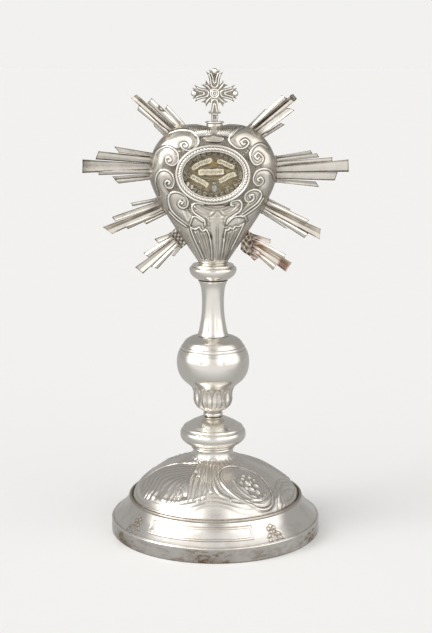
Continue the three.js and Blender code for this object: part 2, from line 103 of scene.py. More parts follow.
def distance_to(line, places):
    """How far each place is from a line of points."""
    best = np.full(len(places), 1e9)
    for a, b in zip(line[:-1], line[1:]):
        run = b - a
        t = np.clip(((places - a) @ run) / max(run @ run, 1e-12), 0, 1)
        best = np.minimum(best, np.hypot(*(places - a - t[:, None] * run).T))
    return best


def inside(outline, places):
    """Whether each place lies inside a closed outline."""
    x, z = places[:, 0], places[:, 1]
    found = np.zeros(len(places), bool)
    for (x0, z0), (x1, z1) in zip(outline, np.roll(outline, -1, axis=0)):
        if z0 == z1:
            continue
        crosses = ((z0 > z) != (z1 > z)) & (x < (x1 - x0) * (z - z0) / (z1 - z0) + x0)
        found ^= crosses
    return found


def covered(outline, places, soft):
    """1 well inside a closed outline and 0 well outside, with a smooth edge of that softness."""
    closed = np.vstack([outline, outline[:1]])
    away = distance_to(closed, places)
    return ease(-soft, soft, np.where(inside(outline, places), away, -away))


def skin(rings, wrap=False):
    """Faces over a stack of closed rings, whose ends are capped or, with wrap, joined to each other."""
    rows, columns = rings.shape[:2]
    index = np.arange(rows * columns).reshape(rows, columns)
    lower = index if wrap else index[:-1]
    upper = np.roll(index, -1, axis=0) if wrap else index[1:]
    quads = [lower, np.roll(lower, -1, axis=1), np.roll(upper, -1, axis=1), upper]
    faces = np.stack(quads, axis=-1).reshape(-1, 4).tolist()
    if not wrap:
        faces += [index[0][::-1].tolist(), index[-1].tolist()]
    return rings.reshape(-1, 3), faces


def outward(rings, wrap_rows=False):
    """The unit normals of a stack of closed rings, from the steps to their neighbours."""
    around = np.roll(rings, -1, axis=1) - np.roll(rings, 1, axis=1)
    if wrap_rows:
        along = np.roll(rings, -1, axis=0) - np.roll(rings, 1, axis=0)
    else:
        along = np.gradient(rings, axis=0)
    normal = np.cross(around, along)
    return normal / np.maximum(np.linalg.norm(normal, axis=-1, keepdims=True), 1e-9)


class Blank:
    """A piece in the making: closed skins laid together, with how dark and how coppery each place is."""

    def __init__(self):
        self.vertices, self.faces, self.hollow, self.copper = [], [], [], []

    def add(self, part, hollow=0.0, copper=0.0):
        vertices, faces = part
        start = len(self.hollow)
        self.vertices += (np.asarray(vertices) * MM).tolist()
        self.faces += [[start + corner for corner in face] for face in faces]
        self.hollow += np.broadcast_to(hollow, len(vertices)).tolist()
        self.copper += np.broadcast_to(copper, len(vertices)).tolist()
        return self


def finish_piece(name, blank, material, nodes=(), crease=32):
    """Makes a blank into a piece that rides on the body, takes its slot and stands for those nodes."""
    mesh = bpy.data.meshes.new(name)
    mesh.from_pydata(blank.vertices, [], blank.faces)
    for label, values in (("hollow", blank.hollow), ("copper", blank.copper)):
        layer = mesh.attributes.new(label, "FLOAT", "POINT")
        layer.data.foreach_set("value", np.array(values, np.float32))
    work = bmesh.new()
    work.from_mesh(mesh)
    bmesh.ops.recalc_face_normals(work, faces=work.faces)
    work.to_mesh(mesh)
    work.free()
    mesh.shade_smooth()
    mesh.set_sharp_from_angle(angle=math.radians(crease))
    mesh.materials.append(material)
    piece = bpy.data.objects.new(name, mesh)
    bpy.context.scene.collection.objects.link(piece)
    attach(piece, "root")
    if nodes:
        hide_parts(*nodes)
    return piece


def turned(profile, segments, centre_x):
    """A turned body: `profile` is radius and height, upwards."""
    profile = np.array(profile, float)
    turn = np.linspace(0, 2 * math.pi, segments, endpoint=False)
    x = profile[:, :1] * np.sin(turn) + centre_x
    y = FRONT * profile[:, :1] * np.cos(turn)
    z = np.broadcast_to(profile[:, 1:], x.shape)
    return np.stack([x, y, z], axis=-1)


def refine(profile, step):
    """The same profile with points no further apart than step."""
    profile = np.array(profile, float)
    points = [profile[:1]]
    for a, b in zip(profile[:-1], profile[1:]):
        count = max(1, int(np.ceil(np.hypot(*(b - a)) / step)))
        points.append(a + (b - a) * (np.arange(1, count + 1) / count)[:, None])
    return np.vstack(points)


def wire(line, radius, sides=8, closed=False, flatten=(1.0, 1.0)):
    """A round wire along points in space, with rounded ends. `flatten` thins it across and in depth."""
    line = np.array(line, float)
    if closed:
        ahead = np.roll(line, -1, axis=0) - np.roll(line, 1, axis=0)
    else:
        ahead = np.gradient(line, axis=0)
    ahead /= np.maximum(np.linalg.norm(ahead, axis=1, keepdims=True), 1e-9)
    depth = np.array([0.0, 1.0, 0.0])
    across = np.cross(ahead, depth)
    across /= np.maximum(np.linalg.norm(across, axis=1, keepdims=True), 1e-9)
    up = np.cross(across, ahead)
    size = np.broadcast_to(np.asarray(radius, float), len(line)).copy()
    if not closed:
        size[0] *= 0.35
        size[-1] *= 0.35
    turn = np.linspace(0, 2 * math.pi, sides, endpoint=False)
    ring = (
        across[:, None] * (np.cos(turn) * flatten[0])[None, :, None]
        + up[:, None] * (np.sin(turn) * flatten[1])[None, :, None]
    )
    return skin(line[:, None] + ring * size[:, None, None], wrap=closed)


def ball(centre, radii, rows=8, columns=14):
    """A bead: a rounded body of those three radii."""
    fall = np.linspace(0.04, math.pi - 0.04, rows)
    turn = np.linspace(0, 2 * math.pi, columns, endpoint=False)
    x = np.outer(np.sin(fall), np.sin(turn)) * radii[0]
    y = np.outer(np.sin(fall), np.cos(turn)) * radii[1]
    z = np.outer(-np.cos(fall), np.ones(columns)) * radii[2]
    return skin(np.stack([x, y, z], axis=-1) + np.array(centre, float))


# ------------------------------------------------------------------ node tools
def link(tree, source, target):
    tree.links.new(source, target)


def add_node(tree, kind, **values):
    node = tree.nodes.new(kind)
    for name, value in values.items():
        setattr(node, name, value)
    return node


def maths(tree, operation, first, second=None, clamp=False):
    """A Math node fed by sockets or numbers."""
    node = add_node(tree, "ShaderNodeMath", operation=operation, use_clamp=clamp)
    for socket, value in zip(node.inputs, (first, second)):
        if isinstance(value, (int, float)):
            socket.default_value = value
        elif value is not None:
            link(tree, value, socket)
    return node.outputs[0]


def spread(tree, value, low, high):
    """A socket's value spread so that low becomes 0 and high 1."""
    node = add_node(tree, "ShaderNodeMapRange", interpolation_type="SMOOTHSTEP")
    link(tree, value, node.inputs["Value"])
    node.inputs["From Min"].default_value = low
    node.inputs["From Max"].default_value = high
    return node.outputs["Result"]


def mix_colour(tree, share, first, second):
    node = add_node(tree, "ShaderNodeMix", data_type="RGBA")
    for socket, value in zip((node.inputs[0], node.inputs[6], node.inputs[7]), (share, first, second)):
        if isinstance(value, (int, float)):
            socket.default_value = value
        elif isinstance(value, tuple):
            socket.default_value = (*value, 1)
        else:
            link(tree, value, socket)
    return node.outputs[2]


def noise(tree, place, scale, detail=4.0, rough=0.55, stretch=None):
    """A noise over the object's own place in space."""
    if stretch:
        mapping = add_node(tree, "ShaderNodeMapping")
        mapping.inputs["Scale"].default_value = stretch
        link(tree, place, mapping.inputs["Vector"])
        place = mapping.outputs["Vector"]
    node = add_node(tree, "ShaderNodeTexNoise")
    node.inputs["Detail"].default_value = detail
    node.inputs["Roughness"].default_value = rough
    if isinstance(scale, (int, float)):
        node.inputs["Scale"].default_value = scale
    else:
        link(tree, scale, node.inputs["Scale"])
    link(tree, place, node.inputs["Vector"])
    return node.outputs["Fac"]


def new_group(name, inputs, outputs):
    """A shader node group with named sockets. inputs holds name to default, a number or a colour."""
    tree = bpy.data.node_groups.new(name, "ShaderNodeTree")
    for label, value in inputs.items():
        kind = "NodeSocketColor" if isinstance(value, tuple) else "NodeSocketFloat"
        socket = tree.interface.new_socket(name=label, in_out="INPUT", socket_type=kind)
        socket.default_value = (*value, 1) if isinstance(value, tuple) else value
    for label, kind in outputs.items():
        tree.interface.new_socket(name=label, in_out="OUTPUT", socket_type=kind)
    return tree, add_node(tree, "NodeGroupInput"), add_node(tree, "NodeGroupOutput")


COPPER = (0.62, 0.40, 0.30)


def make_patina_and_shade_group():
    """Silver that darkens by its hollow attribute (patina in its recesses and, on the ray sheets,
    painted shade) and blooms in clouds: puts out colour, roughness and a mask.
    """
    tree, given, out = new_group(
        "silver_patina_and_shade",
        {"Clean": (0.8, 0.78, 0.74), "Tarnished": (0.2, 0.17, 0.12), "Clouds": 0.2, "Hollows": 0.8,
         "Cloud Size": 90.0, "Roughness": 0.2, "Dulling": 0.3},
        {"Color": "NodeSocketColor", "Roughness": "NodeSocketFloat", "Mask": "NodeSocketFloat"},
    )
    place = add_node(tree, "ShaderNodeTexCoord").outputs["Object"]
    hollow = add_node(tree, "ShaderNodeAttribute", attribute_name="hollow").outputs["Fac"]
    clouds = spread(tree, noise(tree, place, given.outputs["Cloud Size"], 6, 0.62), 0.42, 0.72)
    grains = spread(tree, noise(tree, place, 1400.0, 3, 0.6), 0.35, 0.75)
    cloudy = maths(tree, "MULTIPLY", clouds, maths(tree, "ADD", maths(tree, "MULTIPLY", grains, 0.5), 0.5))
    cloudy = maths(tree, "MULTIPLY", cloudy, given.outputs["Clouds"])
    broken = maths(tree, "ADD", maths(tree, "MULTIPLY", grains, 0.45), 0.65)
    # deep is the hollow attribute: patina in recesses, and painted shade on the ray sheets.
    deep = maths(tree, "MULTIPLY", maths(tree, "MULTIPLY", hollow, given.outputs["Hollows"]), broken)
    mask = maths(tree, "ADD", cloudy, deep, clamp=True)
    worn = add_node(tree, "ShaderNodeAttribute", attribute_name="copper").outputs["Fac"]
    clean = mix_colour(tree, worn, given.outputs["Clean"], COPPER)
    link(tree, mix_colour(tree, mask, clean, given.outputs["Tarnished"]), out.inputs["Color"])
    dull = maths(tree, "MULTIPLY", mask, given.outputs["Dulling"])
    link(tree, maths(tree, "ADD", given.outputs["Roughness"], dull, clamp=True), out.inputs["Roughness"])
    link(tree, mask, out.inputs["Mask"])
    return tree


def make_polish_group():
    """Years of rubbing: hair-fine scratches and shallow hand dents, as a height and a roughness change."""
    tree, given, out = new_group(
        "rubbed_surface",
        {"Scratches": 0.3, "Dents": 0.5},
        {"Height": "NodeSocketFloat", "Roughness": "NodeSocketFloat"},
    )
    place = add_node(tree, "ShaderNodeTexCoord").outputs["Object"]
    one_way = spread(tree, noise(tree, place, 300.0, 2, 0.5, stretch=(1.0, 1.0, 9.0)), 0.55, 0.7)
    other_way = spread(tree, noise(tree, place, 260.0, 2, 0.5, stretch=(8.0, 8.0, 1.0)), 0.57, 0.7)
    either_way = maths(tree, "MAXIMUM", one_way, other_way)
    scratches = maths(tree, "MULTIPLY", either_way, given.outputs["Scratches"])
    dents = maths(tree, "MULTIPLY", noise(tree, place, 75.0, 2, 0.5), given.outputs["Dents"])
    link(tree, maths(tree, "SUBTRACT", dents, maths(tree, "MULTIPLY", scratches, 0.1)), out.inputs["Height"])
    link(tree, maths(tree, "MULTIPLY", scratches, 0.12), out.inputs["Roughness"])
    return tree


def make_wear_group():
    """Where edges and crests are rubbed bright: a mask from how sharply the surface turns."""
    tree, given, out = new_group("rubbed_edges", {"Low": 0.52, "High": 0.6}, {"Mask": "NodeSocketFloat"})
    sharpness = add_node(tree, "ShaderNodeNewGeometry").outputs["Pointiness"]
    node = add_node(tree, "ShaderNodeMapRange", interpolation_type="SMOOTHSTEP")
    link(tree, sharpness, node.inputs["Value"])
    link(tree, given.outputs["Low"], node.inputs["From Min"])
    link(tree, given.outputs["High"], node.inputs["From Max"])
    link(tree, node.outputs["Result"], out.inputs["Mask"])
    return tree


PATINA_AND_SHADE = make_patina_and_shade_group()
POLISH = make_polish_group()
WEAR = make_wear_group()


def place_group(tree, group, **values):
    node = add_node(tree, "ShaderNodeGroup", node_tree=group)
    for name, value in values.items():
        label = name.replace("_", " ")
        node.inputs[label].default_value = (*value, 1) if isinstance(value, tuple) else value
    return node


def new_material(name):
    material = bpy.data.materials.new(name)
    material.use_nodes = True
    return material, material.node_tree, material.node_tree.nodes["Principled BSDF"]


def add_bump(tree, shader, height, strength, distance):
    bump = add_node(tree, "ShaderNodeBump")
    bump.inputs["Strength"].default_value = strength
    bump.inputs["Distance"].default_value = distance * MM
    link(tree, height, bump.inputs["Height"])
    link(tree, bump.outputs["Normal"], shader.inputs["Normal"])


def silver(name, clean, darkened, bright, clouds, hollows, cloud_size, roughness, dulling, scratches, dents,
           wear=(0.53, 0.62)):
    """Silver with patina in its recesses and painted shade where the hollow attribute holds it, rubbed edges
    and a worked surface.
    """
    material, tree, shader = new_material(name)
    shader.inputs["Metallic"].default_value = 1.0
    patina_and_shade = place_group(
        tree, PATINA_AND_SHADE, Clean=clean, Tarnished=darkened, Clouds=clouds, Hollows=hollows,
        Cloud_Size=cloud_size, Roughness=roughness, Dulling=dulling,
    )
    rubbed = place_group(tree, WEAR, Low=wear[0], High=wear[1])
    polish = place_group(tree, POLISH, Scratches=scratches, Dents=dents)
    colour = mix_colour(tree, rubbed.outputs["Mask"], patina_and_shade.outputs["Color"], bright)
    link(tree, colour, shader.inputs["Base Color"])
    rough = maths(tree, "ADD", patina_and_shade.outputs["Roughness"], polish.outputs["Roughness"], clamp=True)
    link(tree, rough, shader.inputs["Roughness"])
    add_bump(tree, shader, polish.outputs["Height"], 0.35, 0.25)
    return material


def paper(name, light, dark, scale, roughness=0.85):
    """Old paper: mottled fibres, faded and stained."""
    material, tree, shader = new_material(name)
    shader.inputs["Roughness"].default_value = roughness
    place = add_node(tree, "ShaderNodeTexCoord").outputs["Object"]
    stain = spread(tree, noise(tree, place, scale, 5, 0.6), 0.35, 0.7)
    hollow = add_node(tree, "ShaderNodeAttribute", attribute_name="hollow").outputs["Fac"]
    shade = maths(tree, "ADD", maths(tree, "MULTIPLY", stain, 0.6), hollow, clamp=True)
    link(tree, mix_colour(tree, shade, light, dark), shader.inputs["Base Color"])
    fibres = noise(tree, place, scale * 9, 4, 0.6)
    add_bump(tree, shader, fibres, 0.5, 0.08)
    return material


def plain_finish(name, light, dark, scale, metallic, roughness):
    """A small part's finish: two tones of one colour in fine patches."""
    material, tree, shader = new_material(name)
    shader.inputs["Metallic"].default_value = metallic
    shader.inputs["Roughness"].default_value = roughness
    place = add_node(tree, "ShaderNodeTexCoord").outputs["Object"]
    patches = noise(tree, place, scale, 4, 0.6)
    link(tree, mix_colour(tree, spread(tree, patches, 0.35, 0.7), light, dark), shader.inputs["Base Color"])
    add_bump(tree, shader, patches, 0.2, 0.05)
    return material


def clear_glass():
    material, _, shader = new_material("relic_glass")
    shader.inputs["Base Color"].default_value = (0.96, 0.97, 0.95, 1)
    shader.inputs["Roughness"].default_value = 0.03
    shader.inputs["IOR"].default_value = 1.45
    shader.inputs["Transmission Weight"].default_value = 1.0
    shader.inputs["Alpha"].default_value = 0.22
    return material


OLIVE = (0.07, 0.058, 0.034)
BROWN = (0.16, 0.10, 0.045)
polished = silver("polished_silver", (0.83, 0.802, 0.752), (0.28, 0.24, 0.18), (0.95, 0.94, 0.92),
                  0.14, 0.85, 60.0, 0.16, 0.25, 0.5, 0.4)
chased = silver("chased_silver", (0.66, 0.622, 0.56), OLIVE, (0.95, 0.93, 0.89),
                0.25, 0.95, 110.0, 0.24, 0.25, 0.4, 0.4)
embossed = silver("embossed_foot_silver", (0.80, 0.768, 0.722), (0.15, 0.12, 0.085), (0.95, 0.93, 0.9),
                  0.16, 0.85, 70.0, 0.22, 0.25, 0.45, 0.4)
burnished = silver("burnished_silver", (0.95, 0.93, 0.885), OLIVE, (0.98, 0.96, 0.93),
                   0.12, 0.8, 120.0, 0.30, 0.2, 0.4, 0.3)
rimmed = silver("foot_rim_silver", (0.80, 0.772, 0.73), BROWN, (0.95, 0.94, 0.91),
                0.3, 1.0, 75.0, 0.11, 0.35, 0.6, 0.6)
# The near-black darkened colour here paints the shade lines between the ray blades as well as their patina.
rayed = silver("ray_silver", (0.85, 0.805, 0.735), (0.07, 0.056, 0.036), (0.95, 0.93, 0.89),
               0.14, 1.15, 120.0, 0.24, 0.3, 0.6, 0.5, wear=(0.8, 0.95))
back_plain = silver("plain_back_silver", (0.80, 0.78, 0.75), (0.28, 0.23, 0.17), (0.92, 0.9, 0.87),
                    0.25, 0.8, 50.0, 0.22, 0.3, 0.6, 0.6)
ground_paper = paper("ochre_ground_paper", (0.36, 0.30, 0.19), (0.15, 0.115, 0.065), 220.0)
coil_paper = paper("quilled_paper", (0.80, 0.74, 0.60), (0.30, 0.245, 0.16), 500.0)
ribbon_paper = paper("ochre_ribbon", (0.33, 0.275, 0.165), (0.16, 0.125, 0.07), 600.0)
label_paper = paper("label_paper", (0.84, 0.785, 0.62), (0.42, 0.35, 0.22), 620.0)
ink = plain_finish("brown_ink", (0.10, 0.07, 0.05), (0.2, 0.15, 0.1), 900.0, 0.0, 0.7)
gilt = plain_finish("gilt_thread", (0.72, 0.53, 0.22), (0.35, 0.25, 0.1), 1200.0, 1.0, 0.35)
pearl = plain_finish("grey_pearl", (0.44, 0.45, 0.42), (0.26, 0.26, 0.23), 500.0, 0.0, 0.25)
bone = plain_finish("bleached_bone", (0.88, 0.85, 0.78), (0.66, 0.6, 0.48), 500.0, 0.0, 0.55)
glass = clear_glass()


# ------------------------------------------------------------------ foot
FOOT_RADIUS = foot_high[0]
RIM_TOP = 10.8
DOME_FOOT = 26.6
NECK_RADIUS = 14.8
FOOT_COLUMNS = 560
RIM_COLUMNS = 528


def lean(z):
    """How far the foot's upper part is shifted to stand under the stem."""
    return STEM_X * ease(30, 56, z)


def on_foot(degrees, radius):
    """A place on the foot seen from above: right, and towards the front."""
    turn = math.radians(degrees)
    return [radius * math.sin(turn), radius * math.cos(turn)]


def on_foot_line(points, steps=6):
    return spline([on_foot(*p) for p in points], steps)


# All of these are [degrees from the front, radius].
WAVE = [(-90, 59.4), (-70, 61.2), (-45, 61.2), (-28, 60), (-16, 57.2), (-8, 54.7), (0, 53.9), (8, 55.2),
        (18, 58), (30, 59.3), (40, 58.9), (51, 56.7), (63, 53.8), (74, 55), (85, 58.4), (90, 59.4)]
SHELL_TOP = [(-76, 57), (-84, 53.5), (-87, 48), (-86, 42), (-84, 34), (-74, 26.6), (-52, 21.6), (-30, 18.6)]
SHELL_RIGHT = [(-30, 18.6), (-28.5, 27), (-26.7, 36.3), (-22.5, 45.6), (-22, 53)]
SHELL_FOOT = [(-22, 53), (-33, 56.2), (-48, 56.6), (-62, 58.2), (-76, 57)]
RIBS = [
    [(-26, 16), (-22.5, 27), (-20.5, 37), (-18.5, 52)],
    [(-20, 16), (-15.5, 28), (-13.9, 39), (-13, 52.5)],
    [(-12, 16), (-9.5, 30), (-8.3, 41), (-9.5, 50.5)],
    [(-3, 16), (-4, 27), (-3.6, 38), (-3, 46)],
    [(5, 16), (0.5, 27), (0, 38), (4, 47), (12, 52)],
]
SMALL_RIBS = [[(12, 16), (4.5, 25), (3.2, 34), (6.5, 43)], [(-16, 17), (-11.5, 30), (-10.8, 44)]]
MEDALLION = np.array([22.4, 34.2])
MEDALLION_HALF = np.array([19.4, 15.6])
MEDALLION_TURN = math.radians(26)
LOBE = [(50, 59.5), (60, 52.5), (71, 50), (84, 53), (89, 58.8), (76, 60.4), (62, 61)]
# The spray in the medallion: [right, forward] in its own turned frame, radii, turn in degrees and height.
SPRAY = [
    (2.0, -0.5, 3.0, 2.1, 20, 1.3), (5.6, 1.8, 2.4, 1.5, -30, 1.0), (-1.8, 2.2, 2.2, 1.2, 60, 0.9),
    (9.6, 0.2, 2.2, 1.2, 10, 1.0), (12.6, 3.0, 1.6, 1.0, 50, 0.8), (6.6, -3.8, 2.0, 1.1, -20, 0.9),
    (-3.4, -5.0, 1.5, 1.1, 0, 1.0), (0.6, -6.6, 1.4, 1.1, 30, 1.0), (3.4, -7.4, 1.5, 1.0, 80, 0.9),
    (-0.6, -8.6, 1.2, 1.0, 0, 0.8), (2.0, 6.2, 4.2, 1.1, 8, 0.7), (9.0, 6.0, 3.4, 0.9, -25, 0.7),
    (-6.6, 4.6, 1.6, 0.8, 40, 0.6), (13.4, -2.4, 1.1, 0.9, 0, 0.6),
]
PITS = [((-25.5, 50.8), 1.5), ((-24.3, 29.3), 1.7), ((33, 38.2), 0.9), ((-19, 33), 1.0), ((38, 42.5), 0.8),
        ((30, 46), 0.7), ((43, 40), 0.7)]
BOSS = (-31.6, 49.2)


def medallion_relief(places):
    """The oval medallion: a field in two borders, a wreath and a spray of leaves. Height and darkness."""
    own = places - MEDALLION
    cos, sin = math.cos(MEDALLION_TURN), math.sin(MEDALLION_TURN)
    right = own[:, 0] * cos + own[:, 1] * sin
    ahead = own[:, 1] * cos - own[:, 0] * sin
    reach = np.hypot(right / MEDALLION_HALF[0], ahead / MEDALLION_HALF[1])
    away = (reach - 1) * MEDALLION_HALF.mean()
    field = 1.0 - ease(-0.6, 0.4, away)
    height = 0.35 * field + 0.9 * bump_at(away, 0.62) + 0.4 * bump_at(away + 2.0, 0.45)
    dark = 0.75 * bump_at(away + 0.95, 0.4) + 0.6 * bump_at(away - 1.1, 0.5)
    ring = (np.hypot((right - 3.6) / 10.4, (ahead - 1.2) / 8.2) - 1) * 9.3
    height += field * (0.3 * bump_at(ring, 0.55) + 0.15 * bump_at(ring + 1.7, 0.45))
    dark += field * 0.3 * bump_at(ring + 0.9, 0.4)
    spray = np.zeros(len(places))
    for x, y, long_half, short_half, degrees, tall in SPRAY:
        c, s = math.cos(math.radians(degrees)), math.sin(math.radians(degrees))
        u = ((right - x) * c + (ahead - y) * s) / (long_half * 0.85)
        v = ((ahead - y) * c - (right - x) * s) / (short_half * 0.8)
        spray = np.maximum(spray, 0.95 * tall * np.exp(-((u * u + v * v) ** 1.6)))
    height += field * spray
    dark += field * bump_at(spray - 0.28, 0.22) * 1.1
    lines = ease(0.9, 2.2, away) * (1 - ease(11, 17, away)) * (1 - ease(-2, 4, places[:, 1] - 40))
    lines = lines * ease(-20, -12, right)
    stripes = np.cos(2 * math.pi * away / 2.7)
    height += lines * 0.2 * stripes
    dark += lines * 0.3 * (0.5 - 0.5 * stripes)
    return height, dark


def shell_relief(places):
    """The wing-like shell at the left: strands from the neck to a fringe below, and a dotted boss."""
    top = on_foot_line(SHELL_TOP)
    right = on_foot_line(SHELL_RIGHT)
    foot = on_foot_line(SHELL_FOOT)
    outline = np.vstack([top, right[1:], foot[1:-1]])
    field = covered(outline, places, 0.7)
    top_away, right_away, foot_away = (distance_to(line, places) for line in (top, right, foot))
    corner_away = np.hypot(*(places - on_foot(-25, 44)).T)
    strand = top_away / (top_away + corner_away)
    strands = np.cos(2 * math.pi * 11 * strand)
    clear = ease(0.6, 2.0, right_away) * ease(2.0, 6.0, corner_away)
    height = 0.6 * bump_at(top_away, 0.7) + 0.75 * bump_at(right_away, 0.8)
    height += 0.14 * field * strands * clear
    dark = 0.4 * field * (0.5 - 0.5 * strands) * clear + 0.15 * field
    height -= 0.35 * field * bump_at(right_away - 1.9, 1.0)
    dark = np.maximum(dark, 0.6 * bump_at(right_away - 1.5, 0.6) * (places[:, 1] > 20))
    turn = np.degrees(np.arctan2(places[:, 0], places[:, 1]))
    radius = np.hypot(*places.T)
    tongues = 0.5 + 0.5 * np.cos(2 * math.pi * (turn + 3 * np.sin(turn / 5)) / 5.6)
    fringe = field * (1 - ease(3.5, 7.5, foot_away)) * ease(-66, -60, turn)
    height += fringe * (0.75 * tongues - 0.3)
    dark = np.where(fringe > 0.1, fringe * 0.75 * (1 - tongues) ** 1.5 + (1 - fringe) * dark, dark)
    height += 0.3 * bump_at(foot_away, 0.8)
    boss = np.hypot(*(places - on_foot(*BOSS)).T)
    dots = np.cos(2 * math.pi * places[:, 0] / 1.3) * np.cos(2 * math.pi * places[:, 1] / 1.3)
    on_boss = 1 - ease(2.6, 3.6, boss)
    height += on_boss * (0.4 + 0.2 * dots) + 0.3 * bump_at(boss - 4.0, 0.5)
    dark = np.where(on_boss > 0.5, 0.4 - 0.35 * dots, np.maximum(dark, 0.5 * bump_at(boss - 3.4, 0.4)))
    outside = (1 - field) * (1 - ease(2.4, 9.5, top_away)) * ease(-95, -80, turn) * (radius < 56)
    trails = np.cos(2 * math.pi * (top_away - 2.2) / 2.2)
    height += outside * 0.15 * trails
    dark += outside * 0.3 * (0.5 - 0.5 * trails)
    return height, dark


def dome_relief(x, forward):
    """How far the dome stands out, and how dark it is. The back repeats the front, turned half round."""
    flip = np.where(forward < 0, -1.0, 1.0)
    places = np.stack([x * flip, forward * flip], axis=-1).reshape(-1, 2)
    turn = np.degrees(np.arctan2(places[:, 0], places[:, 1]))
    radius = np.hypot(*places.T)
    shell, shell_dark = shell_relief(places)
    oval, oval_dark = medallion_relief(places)
    height, dark = shell + oval, np.maximum(shell_dark, oval_dark)
    fade = np.interp(radius, [17, 22], [0, 1])
    for rib in RIBS:
        away = distance_to(on_foot_line(rib), places)
        height = np.maximum(height, 0.65 * bump_at(away, 0.95) * fade)
        dark = np.maximum(dark, 0.5 * bump_at(away - 1.6, 0.55) * fade)
    for rib in SMALL_RIBS:
        away = distance_to(on_foot_line(rib), places)
        height = np.maximum(height, 0.35 * bump_at(away, 0.6) * fade)
    wave_at = np.interp(turn, *np.array([[a, r] for a, r in spline(WAVE, 6)]).T)
    away = radius - wave_at
    for shift, tall, wide in ((0.0, 0.42, 1.0), (-2.9, 0.34, 0.9), (-5.6, 0.22, 0.8)):
        shell_field = on_foot_line(SHELL_TOP + SHELL_RIGHT[1:])
        clear = 1.0 if shift == 0 else 1 - ease(0.2, 0.8, covered(shell_field, places, 1))
        height += tall * bump_at(away - shift, wide) * clear
        dark = np.maximum(dark, 0.4 * bump_at(away - shift - 1.4, 0.5) * clear)
    lobe = on_foot_line(LOBE + LOBE[:1])
    field = covered(lobe, places, 1.2)
    border = distance_to(lobe, places)
    height += 0.45 * field + 0.4 * bump_at(border, 0.8)
    dark = np.maximum(dark, 0.45 * bump_at(border - 1.5, 0.6))
    for centre, size in PITS:
        pit = bump_at(np.hypot(*(places - on_foot(*centre)).T), size)
        height -= 1.1 * pit
        dark = np.maximum(dark, 1.0 * pit)
    flutes = (1 - ease(19, 27, radius)) * ease(14.6, 16, radius)
    height += flutes * 0.13 * np.cos(np.radians(turn) * 34)
    dark = np.maximum(dark, flutes * 0.3 * (0.5 - 0.5 * np.cos(np.radians(turn) * 34)))
    edge = ease(15.2, 17.0, radius) * (1 - ease(61.2, 62.4, radius)) * np.where(flip.ravel() < 0, 0.6, 1.0)
    return (height * edge).reshape(x.shape), np.clip(dark, 0, 1).reshape(x.shape)


def make_foot_dome():
    outside = np.vstack([
        [[61.6, DOME_FOOT - 1.2], [61.4, DOME_FOOT]],
        refine(spline([[60.4, 27.6], [58.2, 31.2], [54.4, 35.6], [42.6, 44.4], [32, 48.9], [24.6, 51.8],
                       [18.2, 54.6], [15.6, 57.0], [NECK_RADIUS, 59.4], [NECK_RADIUS, foot_high[2]]], 12),
               0.62),
    ])
    inner = spline([[13.6, foot_high[2]], [15.8, 54.6], [24, 50.2], [42, 42.8], [54, 33], [60.2, 25.4]], 3)
    rings = turned(np.vstack([outside, inner]), FOOT_COLUMNS, 0)
    rows = len(outside)
    normals = outward(rings[:rows])
    height, dark = dome_relief(rings[:rows, :, 0], FRONT * rings[:rows, :, 1])
    facing = np.sign(np.sum(normals * (rings[:rows] * [1, 1, 0] + [0, 0, 30]), axis=-1, keepdims=True))
    rings[:rows] += normals * facing * height[..., None]
    rings[..., 0] += lean(rings[..., 2])
    hollow = np.zeros(rings.shape[:2])
    hollow[:rows] = dark
    hollow[rows:] = 0.45
    hollow[:2] = 0.8
    blank = Blank().add(skin(rings, wrap=True), hollow.ravel())
    finish_piece("foot_dome", blank, embossed, ["foot"], crease=60)


# The engraved panel on the sloping band, [degrees, share of the way up the band], and the flower sprigs.
PANEL = [(-41, 0.30), (-42.5, 0.86), (22.5, 0.86), (22, 0.30)]
SPRIGS = [(35.5, 0.45, 1.35), (-54.0, 0.42, 1.35), (129.5, 0.45, 1.2), (-144.5, 0.45, 1.2)]


def sprig_relief(right, up, size):
    """A small engraved flower with leaves on a stalk, centred at 0, 0."""
    right, up = right / size, up / size
    cut = np.zeros(right.shape)
    for turn in range(5):
        angle = math.radians(90 + 72 * turn)
        away = np.hypot(right - 1.7 * math.cos(angle), up - 1.6 - 1.7 * math.sin(angle))
        cut = np.maximum(cut, bump_at(away - 1.15, 0.38))
    petals = ((-2.6, -1.6, 35), (2.9, -1.2, -40), (-3.1, -3.8, 60), (3.0, -3.6, -60), (0.4, -3.4, 90))
    for x, z, angle in petals:
        c, s = math.cos(math.radians(angle)), math.sin(math.radians(angle))
        along, across = (right - x) * c + (up - z) * s, (up - z) * c - (right - x) * s
        cut = np.maximum(cut, bump_at(np.hypot(along / 1.7, across / 0.8) - 1, 0.32))
    return cut


def rim_relief(turn, rise, band):
    """Engraving on the band: a double-line panel in front and the sprigs. turn in degrees, rise 0 to 1."""
    cut = np.zeros(turn.shape)
    right, up = np.radians(turn) * 69, rise * 18.5
    corners = np.array([[math.radians(a) * 69, r * 18.5] for a, r in PANEL + PANEL[:1]])
    places = np.stack([right, up], axis=-1).reshape(-1, 2)
    for inset in (0.0, 1.5):
        middle = corners[:-1].mean(axis=0)
        outline = corners + np.sign(middle - corners) * inset
        away = distance_to(outline, places).reshape(turn.shape)
        cut = np.maximum(cut, (0.7 if inset else 0.9) * bump_at(away, 0.32))
    for degrees, share, size in SPRIGS:
        cut = np.maximum(cut, sprig_relief(right - math.radians(degrees) * 69, up - share * 18.5, size))
    return cut * band


